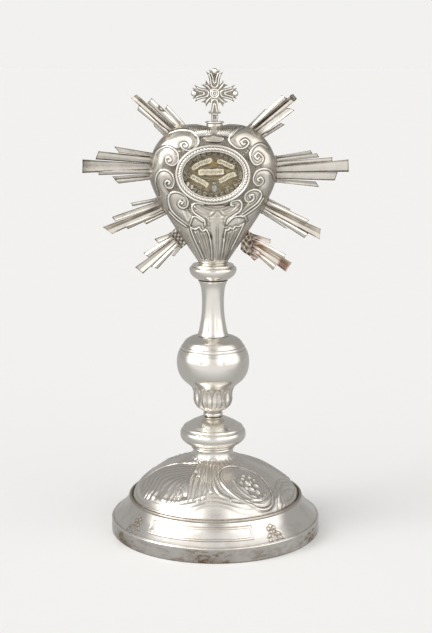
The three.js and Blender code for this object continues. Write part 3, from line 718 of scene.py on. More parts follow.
def make_foot_rim():
    rng = np.random.default_rng(7)
    wall = refine([[FOOT_RADIUS - 0.4, 0], [FOOT_RADIUS - 0.1, 0.5], [FOOT_RADIUS, 1.4],
                   [FOOT_RADIUS - 0.1, RIM_TOP - 0.7]], 0.6)
    shoulder = refine(spline([[FOOT_RADIUS - 0.1, RIM_TOP - 0.4], [FOOT_RADIUS - 0.35, RIM_TOP + 0.1],
                              [FOOT_RADIUS - 0.8, RIM_TOP + 0.2], [FOOT_RADIUS - 1.3, RIM_TOP]], 3), 0.3)
    band = refine(spline([[75.6, 11.0], [74.0, 12.4], [70.8, 15.6], [67.6, 19.2], [65.2, 22.6],
                          [64.0, 24.6]], 8), 0.5)
    bead = spline([[63.9, 24.9], [64.2, 25.6], [63.9, 26.7], [63.0, 27.3], [62.2, 27], [61.7, 26]], 4)
    inner = spline([[60.6, 24.8], [64.0, 19.4], [68.6, 14.4], [73.2, 10.4], [75.7, 7], [75.9, 2.6]], 3)
    hem = [[75.4, 2.2], [73.9, 2.0], [73.7, 0.4], [73.9, 0]]
    profile = np.vstack([wall, shoulder, band, bead, inner, hem])
    rings = turned(profile, RIM_COLUMNS, 0)
    first = len(wall) + len(shoulder)
    last = first + len(band)
    turn = np.broadcast_to(np.linspace(0, 360, RIM_COLUMNS, endpoint=False), rings.shape[:2])
    turn = (turn + 180) % 360 - 180
    rise = np.zeros(len(profile))
    rise[first:last] = np.linspace(0, 1, len(band))
    on_band = np.zeros(len(profile))
    on_band[first:last] = 1
    cut = rim_relief(turn, np.broadcast_to(rise[:, None], turn.shape), on_band[:, None])
    radial = rings * [1, 1, 0]
    radial /= np.linalg.norm(radial, axis=-1, keepdims=True)
    rings -= radial * cut[..., None] * 0.14
    rings[..., 2] -= cut * 0.13
    waves = np.zeros(RIM_COLUMNS)
    angle = np.radians(turn[0])
    for count in (3, 5, 8, 13, 21, 34):
        waves += 0.10 * np.cos(count * angle + rng.uniform(0, 2 * math.pi)) / math.sqrt(count / 3)
    dented = ease(1.0, 5.0, rings[..., 2]) * (1 - ease(RIM_TOP, 24, rings[..., 2]))
    rings += radial * (waves[None, :] * dented)[..., None]
    hollow = 0.95 * cut
    hollow[:2] = 0.8
    hollow[first:first + 3] = np.maximum(hollow[first:first + 3], 0.45)
    hollow[last:last + len(bead)] = np.linspace(0.3, 1.0, len(bead))[:, None]
    stains = np.zeros(RIM_COLUMNS)
    for centre, width, deep in ((-60, 10, 1.2), (-2, 9, 0.85), (-14, 5, 0.5), (30, 5, 0.35), (66, 11, 0.8),
                                (120, 12, 0.6), (200, 15, 0.5)):
        gap = (turn[0] - centre + 180) % 360 - 180
        stains += deep * np.exp(-((gap / width) ** 2))
    low = 1 - ease(RIM_TOP - 2.0, RIM_TOP - 0.2, rings[..., 2])
    specks = rng.random((len(profile), RIM_COLUMNS))
    for _ in range(5):
        beside = np.roll(specks, 1, axis=1) + np.roll(specks, -1, axis=1)
        specks = (specks + beside + np.roll(specks, 1, axis=0)) / 4
    specks = ease(0.5, 0.58, specks)
    patches = 0.5 + 0.5 * np.cos(7 * angle + 1.0) * np.cos(3 * angle)
    settled = 1.15 - 0.6 * ease(1.0, RIM_TOP - 2.0, rings[..., 2])
    stained = stains[None, :] * (0.6 + 0.5 * specks) + 0.12 + specks * (0.15 + 0.35 * patches[None, :])
    hollow += low * settled * stained
    hollow[len(wall):first] = 0.0
    hollow = np.clip(hollow, 0, 1)
    hollow[last + len(bead):] = 0.5
    blank = Blank().add(skin(rings, wrap=True), hollow.ravel())
    finish_piece("foot_rim", blank, rimmed, crease=38)


def with_slots(profile, height, width, deep):
    """A profile with a fine turned line cut into it at a height."""
    profile = np.array(profile, float)
    profile[:, 0] -= deep * bump_at(profile[:, 1] - height, width)
    return profile


def turned_piece(name, profile, node, segments=144, grooves=(), crease=30):
    """A plain turned piece of the stem, darker in its grooves and creases."""
    fine = refine(profile, 0.45)
    for height, width, deep in grooves:
        fine = with_slots(fine, height, width, deep)
    slope = np.gradient(fine, axis=0)
    facing = np.arctan2(slope[:, 1], slope[:, 0])
    bend = np.gradient(np.unwrap(facing))
    hollow = np.clip(ease(0.12, 0.7, -bend) * 0.9, 0, 1)
    hollow[:1] = hollow[-1:] = 0.7
    rings = turned(fine, segments, STEM_X)
    blank = Blank().add(skin(rings), np.repeat(hollow, segments))
    finish_piece(name, blank, polished, [node], crease=crease)


def make_lower_knop():
    z0, z1 = knop_low[2], knop_high[2]
    profile = np.vstack([
        [[14.6, z0], [15.3, z0 + 0.1], [15.9, z0 + 0.6], [15.6, z0 + 1.2], [15.2, z0 + 1.5]],
        spline([[15.7, z0 + 1.9], [17.6, z0 + 3.1], [20.6, z0 + 5.1], [23.1, z0 + 7.3], [24.0, z0 + 9.8],
                [24.0, z0 + 12.2], [23.4, z0 + 13.9]], 6),
        [[22.6, z0 + 14.4], [22.2, z0 + 14.6], [22.1, z0 + 15.1]],
        spline([[22.2, z0 + 15.4], [21.9, z0 + 16.3], [21.1, z0 + 16.9]], 3),
        [[20.5, z0 + 17.0], [20.1, z0 + 17.2]],
        spline([[19.6, z0 + 17.6], [17.6, z0 + 19.1], [14.2, z0 + 20.9], [10.6, z0 + 22.6],
                [8.2, z0 + 23.7]], 5),
        [[7.4, z1], [6.9, z1]],
    ])
    turned_piece("lower_knop_turning", profile, "lower_knop")


def make_spool():
    z0, z1 = spool_low[2], spool_high[2]
    profile = np.vstack([
        [[6.1, z0], [6.2, z0 + 0.2]],
        spline([[6.4, z0 + 0.3], [7.0, z0 + 0.9], [7.2, z0 + 1.7], [7.0, z0 + 2.5], [6.4, z0 + 3.1]], 4),
        [[6.1, z0 + 3.3], [6.3, z0 + 3.6], [6.3, z1]],
    ])
    turned_piece("spool_turning", profile, "spool", segments=144)


def make_stem_neck():
    z0, z1 = neck_low[2], neck_high[2]
    profile = np.vstack([
        [[10.9, z0], [11.3, z0 + 0.1], [11.3, z0 + 0.5]],
        spline([[11.0, z0 + 1.0], [10.3, z0 + 3.2], [9.5, z0 + 7.4], [8.6, z0 + 13], [8.0, z0 + 20.5],
                [8.0, z0 + 28], [8.7, z0 + 35], [10.2, z0 + 39.4]], 8),
        [[10.7, z0 + 39.9], [10.7, z1]],
    ])
    turned_piece("stem_neck_turning", profile, "stem_neck")


def make_upper_knop():
    z0, z1 = upper_low[2], upper_high[2]
    profile = np.vstack([
        [[10.2, z0]],
        spline([[11.2, z0 + 0.5], [13.6, z0 + 1.9], [15.9, z0 + 4.2], [17.0, z0 + 6.8], [16.9, z0 + 8.6],
                [15.9, z0 + 9.7]], 6),
        [[15.2, z0 + 9.8], [15.0, z0 + 10.2]],
        spline([[15.1, z0 + 10.4], [14.9, z0 + 11.2], [14.0, z0 + 11.5]], 3),
        [[12.6, z0 + 11.6], [12.2, z0 + 11.9], [11.2, z0 + 12.3], [10.6, z1]],
    ])
    turned_piece("upper_knop_turning", profile, "upper_knop")


LEAVES_ROUND = 12
FIRST_LEAF = -18  # degrees from the front
LEAF_HEIGHTS = (91.4, 108.4)


def leaf_cuts(turn, z, radius):
    """The engraved collar of leaves on the tulip: ribs, herringbone veins and pointed outlines."""
    step = 360 / LEAVES_ROUND
    across = ((turn - FIRST_LEAF + step / 2) % step - step / 2) * np.radians(1) * radius
    share = np.clip((z - LEAF_HEIGHTS[0]) / (LEAF_HEIGHTS[1] - LEAF_HEIGHTS[0]), 0, 1)
    on_leaf = ease(-0.3, 0.3, z - LEAF_HEIGHTS[0]) * (1 - ease(-0.3, 0.3, z - LEAF_HEIGHTS[1]))
    half = 0.48 * np.radians(step) * radius * (1 - np.clip(share - 0.55, 0, 1) ** 1.6 * 2.1)
    outline = bump_at(np.abs(across) - half, 0.28)
    rib = bump_at(across, 0.3) * (share < 0.9)
    veins = 0.5 + 0.5 * np.cos(2 * math.pi * (z - np.abs(across) * 1.15) / 1.35)
    veins = veins**2 * (np.abs(across) < half - 0.3) * (np.abs(across) > 0.35)
    curl = bump_at(np.hypot(np.abs(across) - 1.9, z - LEAF_HEIGHTS[1] + 0.6) - 0.9, 0.3)
    return on_leaf * np.maximum.reduce([outline, 0.9 * rib, 0.75 * veins]) + 0.8 * curl


def make_baluster():
    z0, z1 = baluster_low[2], baluster_high[2]
    tulip = spline([[7.4, z0 + 0.5], [9.2, z0 + 1.2], [11.6, z0 + 2.9], [13.4, z0 + 5.3], [14.3, z0 + 8.4],
                    [14.3, z0 + 11.6], [14.6, z0 + 15.0], [16.0, z0 + 18.4]], 10)
    bulb = spline([[16.0, z0 + 18.4], [18.8, z0 + 21.0], [22.6, z0 + 24.6], [25.2, z0 + 29.2],
                   [26.3, z0 + 34.4], [26.3, z0 + 39.4], [25.3, z0 + 43.8], [23.9, z0 + 46.6]], 8)[1:]
    ridge = spline([[23.2, z0 + 46.8], [23.3, z0 + 47.5], [23.0, z0 + 48.6], [22.4, z0 + 49.0]], 4)
    shoulder = spline([[22.2, z0 + 49.2], [21.4, z0 + 50.8], [19.8, z0 + 52.8], [16.8, z0 + 54.6],
                       [13.0, z0 + 55.9]], 5)
    profile = np.vstack([
        [[6.6, z0], [6.9, z0 + 0.2]],
        refine(tulip, 0.34), refine(bulb, 0.7), ridge, refine(shoulder, 0.6), [[12.2, z0 + 56.1], [11.8, z1]],
    ])
    columns = 320
    rings = turned(profile, columns, STEM_X)
    turn = np.broadcast_to(np.linspace(0, 360, columns, endpoint=False), rings.shape[:2])
    turn = (turn + 180) % 360 - 180
    z = rings[..., 2]
    radius = np.broadcast_to(profile[:, :1], z.shape)
    cuts = leaf_cuts(turn, z, radius)
    radial = (rings - [STEM_X, 0, 0]) * [1, 1, 0]
    radial /= np.maximum(np.linalg.norm(radial, axis=-1, keepdims=True), 1e-9)
    rings = rings - radial * cuts[..., None] * 0.4
    hollow = 1.0 * cuts
    hollow += 0.3 * ease(z0 + 48.9, z0 + 49.6, z)
    hollow += 0.4 * bump_at(z - (z0 + 49.1), 0.3) + 0.4 * bump_at(z - (z0 + 46.75), 0.25)
    hollow[:3] = 0.8
    blank = Blank().add(skin(rings), np.clip(hollow, 0, 1).ravel())
    finish_piece("baluster_turning", blank, polished, ["baluster"], crease=34)


# ------------------------------------------------------------------ heart
HEART_BASE = heart_low[2]
HEART_TOP = HEART_BASE + 98.0
HEART_HALF = (heart_high[0] - heart_low[0]) / 2
HEART_WIDEST = WINDOW_Z
HEART_NECK = 9.8
HEART_FRONT = 21.5
HEART_FLAT = 18.2
HEART_BACK = back_high[1]
SEAM_Y = heart_high[1]
RING_INSET = 1.6


def bezier(a, b, c, d, steps):
    t = np.linspace(0, 1, steps)[:, None]
    a, b, c, d = (np.array(p, float) for p in (a, b, c, d))
    return (1 - t) ** 3 * a + 3 * (1 - t) ** 2 * t * b + 3 * (1 - t) * t**2 * c + t**3 * d


def heart_side():
    """The right side of the heart's outline, from its foot to the top of the lobe, about its own axis."""
    lower = bezier([HEART_NECK, HEART_BASE], [22, HEART_BASE + 19], [HEART_HALF, HEART_WIDEST - 16],
                   [HEART_HALF, HEART_WIDEST], 80)
    upper = bezier([HEART_HALF, HEART_WIDEST], [HEART_HALF, HEART_WIDEST + 19], [31, HEART_TOP],
                   [14, HEART_TOP], 80)
    return np.vstack([lower, upper[1:]])


HEART_SIDE = heart_side()


def half_width(z):
    return np.interp(z, HEART_SIDE[:, 1], HEART_SIDE[:, 0])


def depth_at(x, z, deepest, flat):
    """How far the heart stands out from its seam at a place seen from the front."""
    climb = np.clip((z - HEART_BASE) / (HEART_WIDEST - HEART_BASE), 0, 1)
    fall = np.clip((z - HEART_WIDEST) / (HEART_TOP - HEART_WIDEST), 0, 1)
    low = HEART_NECK + (deepest - HEART_NECK) * np.sin(climb * math.pi / 2)
    deep = np.where(z < HEART_WIDEST, low, deepest * (1 - fall**2.6) ** 0.45)
    square = 2 + 0.4 * ease(HEART_BASE, HEART_WIDEST, z)
    share = np.clip(np.abs(x) / half_width(z), 0, 1)
    swell = deep * (1 - share**square) ** (1 / square)
    return flat - np.logaddexp(0, (flat - swell) / 0.7) * 0.7 if flat else swell


def heart_outline(count):
    """The outline as a closed line of evenly spaced points, from the foot's middle to the right."""
    dip = 1.6
    top = np.linspace(14, -14, 24)[1:-1]
    crown = np.stack([top, HEART_TOP - dip * np.cos(top / 14 * math.pi / 2) ** 2], axis=-1)
    right = HEART_SIDE
    left = right[::-1] * [-1, 1]
    line = np.vstack([[[0, HEART_BASE]], right, crown, left, [[0, HEART_BASE]]])
    steps = np.concatenate([[0], np.cumsum(np.hypot(*np.diff(line, axis=0).T))])
    wanted = np.linspace(0, steps[-1], count, endpoint=False)
    return np.stack([np.interp(wanted, steps, line[:, k]) for k in (0, 1)], axis=-1)


# Each scroll is one raised line, [right of the axis, height]: its tail, its outer sweep and its curl.
# The number is how many of its points bound the leaf that it edges.
SCROLLS = [
    (7, [(21, 296.8), (14.5, 294.3), (11.3, 289.7), (13, 285.9), (17.5, 283), (22.3, 283.5), (25, 286.5),
         (22.8, 289), (20, 287.8), (20.9, 285.7), (22.4, 286.2)]),
    (8, [(39.5, 282.2), (33.2, 285.6), (28, 283.2), (25.9, 278.2), (27.8, 273.1), (30.9, 271.5),
         (34.4, 273.3), (35, 276.5), (31.6, 279.7), (29.5, 277.4), (31, 275.4), (32.3, 276.8)]),
    (8, [(43.6, 260), (41, 266.4), (36, 268.5), (30.8, 267.1), (28.2, 262), (29.6, 258.2), (32.3, 256.9),
         (35.3, 259.6), (33.6, 262.7), (31.2, 261.3), (32.3, 259.9)]),
    (9, [(18.6, 235.3), (25, 240), (31.5, 244.8), (34.2, 250.1), (32, 253.4), (27.5, 254), (22.9, 251),
         (22.8, 246.9), (25.5, 245.4), (28.6, 247.3), (28.2, 250.4), (25.6, 250.1), (26.2, 248.2)]),
    (9, [(-40.5, 281), (-35, 289.5), (-26.6, 294), (-19, 295), (-12.7, 293.1), (-9.8, 288.2), (-12, 283.7),
         (-17, 281.5), (-21.4, 283.3), (-22, 286), (-19.2, 286.9), (-17.9, 285), (-19.4, 283.9)]),
    (9, [(-42.5, 269), (-40, 279), (-34, 283.5), (-29.6, 283.7), (-25, 280.4), (-24.2, 274.6), (-27.5, 271.2),
         (-31.6, 272.3), (-33, 275.4), (-30.4, 276.7), (-29.2, 274.6), (-30.6, 273.8)]),
    (9, [(-38.4, 250), (-40.5, 259.2), (-38.4, 265.8), (-34, 268), (-29.3, 265.9), (-27, 260.6),
         (-28.4, 255.9), (-31.8, 255.4), (-33.6, 258.4), (-31.8, 260.5), (-30.1, 259.2), (-31.2, 257.8)]),
    (10, [(-16, 228.1), (-23.6, 233.6), (-29.3, 239.2), (-31.3, 246.5), (-29.6, 251.5), (-25, 252.5),
          (-20, 250.4), (-17.4, 245.7), (-18.6, 242), (-22, 241.3), (-24.3, 244), (-22.8, 246),
          (-21.1, 245.1), (-22.2, 243.9)]),
]
SECOND_LINES = [
    [(20.5, 234.6), (27.4, 238.9), (32.6, 243), (35.8, 248)],
    [(-18.6, 227.6), (-25.4, 232.4), (-31.4, 238.4)],
]
CARTOUCHE = [
    [(-6, 243.6), (-11.2, 245), (-14.3, 243.2), (-14.6, 240.4), (-12.9, 237.6), (-9, 234.9),
     (-5.9, 232.3), (-5.5, 228.6)],
    [(14.8, 243.1), (13, 243), (12.6, 245.1), (14.8, 246.5), (18.5, 246.6), (20.3, 243.7), (19.2, 239.2),
     (14.8, 236.1), (10.6, 232.9), (9.7, 229.4)],
]
BRACKETS = [
    [(-16.7, 228.1), (-13.4, 235.3), (-6.7, 231.7)],
    [(10.4, 231), (14.8, 234.8), (21.8, 235.1), (23.9, 231.9)],
]
LEAF_EDGES = [
    [(-16.2, 227.6), (-12.6, 226.1), (-9.6, 227.9)], [(-9.6, 227.9), (-7.6, 224.9), (-4.5, 226)],
    [(-4.5, 226), (-2.7, 221.9), (-1.6, 216.6), (-1, 211), (-0.6, 204)],
    [(-16.2, 227.6), (-13.6, 220), (-9.6, 211), (-6.6, 204)],
    [(22, 230), (18.4, 227.8), (16.1, 228.2)], [(16.1, 228.2), (14, 226.2), (12.2, 227.2)],
    [(12.2, 227.2), (10.6, 225.4), (9.1, 225.9)],
    [(9.1, 225.9), (8.2, 221.4), (7.6, 216), (6.8, 210), (5.6, 204)],
    [(22, 230), (17.4, 220), (13, 211), (9.4, 204)],
]
VEINS = [
    [(-12.8, 224.6), (-9.4, 217), (-6.4, 209.6), (-4.4, 204)],
    [(-9.4, 225.4), (-6.8, 218.6), (-4.6, 211), (-3, 204)],
    [(-6.2, 223.4), (-4.4, 217.6), (-3, 211), (-1.8, 204)],
    [(18.4, 226), (14.6, 218.4), (11.2, 210), (8.6, 204)],
    [(14.6, 224.8), (12, 218.4), (9.8, 211), (7.6, 204)],
    [(11, 223.4), (10, 217.8), (8.6, 211), (6.8, 204)],
    [(3.1, 231), (3.0, 222), (2.9, 212), (2.4, 204)],
]
FOLDS = [
    [(-8.2, 243.3), (-3, 241.2), (3, 240.4), (8.6, 241.3), (12.2, 243.2)],
    [(-12.4, 242), (-9.8, 239.4), (-6.2, 237.3), (-2.6, 236.4), (0.2, 238), (0.9, 240)],
    [(-11.6, 239.2), (-8.8, 236.9), (-5.6, 235.3), (-3.4, 233.6), (-3.2, 229.6)],
    [(17.8, 243.4), (15.4, 240.2), (12, 238), (8.6, 236.9), (6.2, 238.2), (5.6, 240)],
    [(16.8, 239.8), (13.2, 237), (10, 235), (8.6, 232.6), (8.8, 229.8)],
]
STALK = [(-3.0, 232.6), (-0.9, 222), (0.6, 211), (1.0, 203), (4.2, 203), (5.3, 211), (7.0, 222), (9.1, 232.6)]
DROPS = [(-1.4, 219.9), (7.7, 219.8)]
CROWN_LOBE = [(-7.4, 290), (-4, 288), (1, 287), (5.4, 287.4), (8, 289.6), (5.4, 291.2), (1, 291.8),
              (-3.4, 291.7)]
LEAF_GROUND = [(16.5, 235.6), (20, 240), (21.6, 245.4), (23.2, 246), (23.6, 242.6), (20.4, 238.4)]
LEFT_GROUND = [(-14.8, 236), (-16.4, 241), (-16.6, 244.6), (-17.6, 241.6), (-21, 240), (-26, 237.4),
               (-18.5, 231)]


def crown_strokes():
    """The feathered fan on each side of the heart's cleft, as short curved strokes."""
    strokes = []
    for side in (-1, 1):
        for share in np.linspace(0, 1, 10):
            low = np.array([side * (2.6 + 9.0 * share) + 0.6, 292.0 - 1.2 * share])
            high = np.array([side * (3.8 + 13.2 * share) + 0.6, 296.0 + 1.0 * share * (1.4 - share)])
            middle = (low + high) / 2 + [side * 0.7, 0.5]
            strokes.append(spline([low, middle, high], 3))
    return strokes


def nearest(lines, places):
    """How far each place is from the nearest of several lines."""
    return np.minimum.reduce([distance_to(line, places) for line in lines])


def heart_relief(x, z):
    """How far the heart's chasing stands out, and how dark it is, at each place seen from the front."""
    places = np.stack([x, z], axis=-1).reshape(-1, 2)
    reach = np.hypot(places[:, 0] / WINDOW_HALF[0], (places[:, 1] - WINDOW_Z) / WINDOW_HALF[1])
    raised = ease(1.32, 1.42, reach)
    for outline in (LEAF_GROUND, LEFT_GROUND):
        raised *= 1 - covered(np.array(outline, float), places, 0.8)
    lines = np.full(len(places), 1e9)
    for count, points in SCROLLS:
        line = spline(points, 7)
        raised = np.maximum(raised, covered(line[: (count - 1) * 7 + 1], places, 0.5))
        lines = np.minimum(lines, distance_to(line, places))
    cartouche = np.vstack([spline(CARTOUCHE[0], 5), spline(CARTOUCHE[1], 5)[::-1]])
    raised = np.maximum(raised, 0.75 * covered(cartouche, places, 0.5))
    raised = np.maximum(raised, covered(spline(CROWN_LOBE + CROWN_LOBE[:1], 4), places, 0.6))
    for points in SECOND_LINES + CARTOUCHE + BRACKETS:
        lines = np.minimum(lines, distance_to(spline(points, 5), places))
    leaf_lines, veins, folds = (nearest([spline(points, 5) for points in group], places)
                                for group in (LEAF_EDGES, VEINS, FOLDS))
    height = 0.95 * raised - 0.6 + 0.5 * bump_at(folds, 0.75) - 0.3 * bump_at(folds - 1.5, 0.6)
    height += 0.3 * raised * ease(1.6, 5.0, lines) - 0.25 * raised * bump_at(lines - 1.2, 0.6)
    height += 0.25 * bump_at(lines, 0.9) + 0.35 * bump_at(leaf_lines, 0.7) + 0.35 * bump_at(veins, 0.55)
    low = 1 - ease(226, 232, places[:, 1])
    height -= 0.4 * low * bump_at(leaf_lines - 1.3, 0.6) + 0.2 * low * bump_at(veins - 1.0, 0.4)
    stalk = covered(np.array(STALK, float), places, 0.8)
    height += 0.7 * stalk
    pad = bump_at(np.hypot((places[:, 0] - 3) / 6.4, (places[:, 1] - 234) / 1.9), 0.95)
    height += 0.9 * pad
    strokes = nearest(crown_strokes(), places)
    fan = 1 - ease(0.6, 1.6, strokes)
    height += fan * (1.15 * bump_at(strokes, 0.42) - 0.45)
    dark = 0.9 * (1 - raised) * (reach < 1.45) * (places[:, 1] > 226)
    dark = np.maximum(dark, 0.95 * bump_at(lines - 0.9, 0.5))
    dark = np.maximum(dark, 0.95 * bump_at(leaf_lines - 0.9, 0.55))
    dark = np.maximum(dark, 0.6 * low * bump_at(veins - 0.7, 0.5))
    dark = np.maximum(dark, 0.55 * bump_at(folds - 1.1, 0.5))
    dark = np.maximum(dark, 1.0 * fan * (1 - bump_at(strokes, 0.5)))
    side = np.abs(places[:, 0]) / half_width(places[:, 1])
    dark = np.maximum(dark, 0.4 * ease(0.86, 0.98, side))
    for drop in DROPS:
        pit = bump_at(np.hypot((places[:, 0] - drop[0]) / 0.75, (places[:, 1] - drop[1]) / 1.7), 1.0)
        height -= 1.3 * pit
        dark = np.maximum(dark, pit)
    crease = bump_at(reach - 1.03, 0.05)
    dark = np.maximum(dark, 0.9 * crease)
    return height.reshape(x.shape), np.clip(dark, 0, 1).reshape(x.shape)


def heart_grid(columns, rows, hole):
    """Places seen from the front, from an oval round the window's centre out to the heart's outline."""
    outline = heart_outline(columns)
    centre = np.array([0, WINDOW_Z])
    turn = np.arctan2((outline[:, 1] - centre[1]) / WINDOW_HALF[1], outline[:, 0] / WINDOW_HALF[0])
    oval = np.stack([hole[0] * np.cos(turn), WINDOW_Z + hole[1] * np.sin(turn)], axis=-1)
    share = np.linspace(0, 1, rows)
    share = 1 - (1 - share) ** 1.45
    return oval[None] + (outline - oval)[None] * share[:, None, None]


def make_heart_front():
    columns, rows = 640, 122
    hole = WINDOW_HALF - RING_INSET
    grid = heart_grid(columns, rows, hole)
    x, z = grid[..., 0], grid[..., 1]
    deep = depth_at(x, z, HEART_FRONT, HEART_FLAT)
    deep = np.maximum(deep, 0)
    surface = np.stack([x, FRONT * deep + SEAM_Y, z], axis=-1)
    surface[-1, :, 1] = SEAM_Y
    normals = outward(surface)
    normals *= np.sign(normals[..., 1:2] * FRONT + 1e-9)
    height, dark = heart_relief(x, z)
    from_seam = np.minimum(deep, 6) / 6
    bead = 0.55 * bump_at(deep - 2.2, 1.0)
    lift = height * ease(0.25, 0.8, from_seam) + bead
    lift[-1] = 0
    surface += normals * lift[..., None]
    inner_rows = 7
    inner = heart_grid(columns, inner_rows, hole)[::-1]
    shrink = np.array([0.965, 0.965])
    centre = np.array([0, WINDOW_Z - 6])
    inner = centre + (inner - centre) * shrink
    inner_deep = np.maximum(depth_at(inner[..., 0], inner[..., 1], HEART_FRONT - 1.6, HEART_FLAT - 1.9), 0)
    inner_deep[0] = 0
    lining = np.stack([inner[..., 0], FRONT * inner_deep + SEAM_Y, inner[..., 1]], axis=-1)
    rings = np.concatenate([surface, lining])
    rings[..., 0] += STEM_X
    hollow = np.concatenate([dark, np.full(lining.shape[:2], 0.5)])
    blank = Blank().add(skin(rings, wrap=True), hollow.ravel())
    finish_piece("heart_front_chasing", blank, chased, ["heart_front"], crease=70)
    make_heart_lines()


def on_heart(line, sink):
    """A line seen from the front, laid on the chased heart."""
    line = np.array(line, float)
    height, _ = heart_relief(line[:, 0], line[:, 1])
    deep = np.maximum(depth_at(line[:, 0], line[:, 1], HEART_FRONT, HEART_FLAT), 0)
    y = FRONT * (deep + height - sink) + SEAM_Y
    return np.stack([line[:, 0] + STEM_X, y, line[:, 1]], axis=-1)


def make_heart_lines():
    """The burnished lines that edge the scrolls and leaves, each with a tapering tail."""
    blank = Blank()
    for _, points in SCROLLS:
        line = spline(points, 9)
        taper = 0.3 + 0.7 * ease(0, 0.22, np.linspace(0, 1, len(line)))
        taper *= 0.9 + 0.17 * np.sin(np.linspace(0, 9, len(line)))
        blank.add(wire(on_heart(line, 0.1), 0.66 * taper, sides=9, flatten=(1.0, 0.85)), 0.0)
    for points in CARTOUCHE:
        blank.add(wire(on_heart(spline(points, 8), 0.1), 0.62, sides=9, flatten=(1.0, 0.85)), 0.0)
    for points in SECOND_LINES + BRACKETS:
        blank.add(wire(on_heart(spline(points, 8), 0.12), 0.46, sides=8), 0.0)
    for points in LEAF_EDGES:
        line = spline(points, 8)
        taper = 1 - 0.55 * ease(0.2, 1, np.linspace(0, 1, len(line)))
        blank.add(wire(on_heart(line, 0.15), 0.48 * taper, sides=8), 0.0)
    for stroke in crown_strokes():
        blank.add(wire(on_heart(stroke, 0.1), 0.3, sides=6), 0.1)
    finish_piece("heart_raised_lines", blank, burnished, crease=60)


def make_heart_back():
    columns, rows = 240, 50
    grid = heart_grid(columns, rows, np.array([0.03, 0.03]))
    x, z = grid[..., 0], grid[..., 1]
    deep = np.maximum(depth_at(x, z, HEART_BACK, None), 0)
    surface = np.stack([x, deep - SEAM_Y, z], axis=-1)
    surface[-1, :, 1] = -SEAM_Y
    normals = outward(surface)
    normals *= np.sign(normals[..., 1:2] + 1e-9)
    places = grid.reshape(-1, 2)
    border = distance_to(np.vstack([heart_outline(200), heart_outline(200)[:1]]), places).reshape(x.shape)
    reach = np.hypot(x / WINDOW_HALF[0], (z - WINDOW_Z) / WINDOW_HALF[1])
    lines = 0.35 * bump_at(border - 9, 0.7) + 0.2 * bump_at(border - 11.4, 0.5)
    oval = 0.6 * bump_at((reach - 1) * 22, 0.9) + 0.3 * bump_at((reach - 0.88) * 22, 0.7)
    bead = 0.5 * bump_at(deep - 2.2, 1.0)
    surface += normals * (lines + oval + bead)[..., None]
    surface[-1, :, 1] = -SEAM_Y
    dark = 0.5 * bump_at((reach - 1.07) * 22, 0.7) + 0.4 * bump_at(border - 10.2, 0.5)
    inner = heart_grid(columns, 6, np.array([0.02, 0.02]))[::-1]
    centre = np.array([0, WINDOW_Z - 6])
    inner = centre + (inner - centre) * 0.965
    inner_deep = np.maximum(depth_at(inner[..., 0], inner[..., 1], HEART_BACK - 1.3, None), 0)
    inner_deep[0] = 0
    lining = np.stack([inner[..., 0], inner_deep - SEAM_Y, inner[..., 1]], axis=-1)
    rings = np.concatenate([surface, lining])
    rings[..., 0] += STEM_X
    hollow = np.concatenate([dark, np.full(lining.shape[:2], 0.4)])
    blank = Blank().add(skin(rings, wrap=True), hollow.ravel())
    finish_piece("heart_back_shell", blank, back_plain, ["heart_back"], crease=50)


# ------------------------------------------------------------------ window and relics
def oval_line(half, y, count, z=WINDOW_Z):
    turn = np.linspace(0, 2 * math.pi, count, endpoint=False)
    return np.stack([STEM_X + half[0] * np.cos(turn), np.full(count, y), z + half[1] * np.sin(turn)], axis=-1)


def swept_oval(section, count=240):
    """A closed oval moulding: section is [how far in from the outer edge, y], in order round it."""
    rings = []
    for inset, y in section:
        rings.append(oval_line(WINDOW_HALF - inset, y, count))
    return skin(np.array(rings), wrap=True)


def rope_oval(inset, y, radius, strands, lays, count):
    """A twisted wire laid round the oval."""
    line = oval_line(WINDOW_HALF - inset, y, count)
    ahead = np.roll(line, -1, axis=0) - np.roll(line, 1, axis=0)
    ahead /= np.linalg.norm(ahead, axis=1, keepdims=True)
    depth = np.array([0.0, 1.0, 0.0])
    across = np.cross(ahead, depth)
    sides = 12
    around = np.linspace(0, 2 * math.pi, sides, endpoint=False)
    phase = np.linspace(0, 2 * math.pi * lays, count, endpoint=False)
    swell = radius * (0.7 + 0.42 * np.abs(np.cos((around[None, :] * strands + phase[:, None]) / 2)) ** 0.7)
    sideways, forward = np.cos(around) * swell, np.sin(around) * swell
    offset = across[:, None] * sideways[..., None] + depth * forward[..., None]
    hollow = 1.0 - ease(swell.min(), swell.max() - 0.12 * radius, swell)
    return skin(line[:, None] + offset, wrap=True), hollow.ravel()


def make_window_ring():
    """The bezel: a plain outer wire, a channel, a twisted wire and a thin inner lip."""
    top = ring_low[1]
    blank = Blank()
    seat = [(0.4, top + 3.3), (0.3, top + 2.0), (1.8, top + 1.5), (3.1, top + 1.3), (4.7, top + 1.5),
            (5.1, top + 1.9), (5.1, top + 6.0), (4.3, top + 6.0), (3.6, top + 3.3)]
    blank.add(swept_oval(seat), np.repeat([0.7, 0.7, 1.0, 0.9, 0.9, 0.8, 0.8, 0.6, 0.6], 240))
    blank.add(wire(oval_line(WINDOW_HALF - 0.85, top + 0.95, 240), 0.85, sides=14, closed=True))
    twisted, hollow = rope_oval(3.0, top + 1.05, 1.05, 2, 62, 1736)
    blank.add(twisted, hollow)
    blank.add(wire(oval_line(WINDOW_HALF - 4.6, top + 1.35, 240), 0.42, sides=10, closed=True))
    finish_piece("window_bezel", blank, polished, ["window_frame"], crease=50)


RELIC_Y = mount_low[1]
RELIC_HALF = np.array([mount_high[0] - mount_low[0], mount_high[2] - mount_low[2]]) / 2


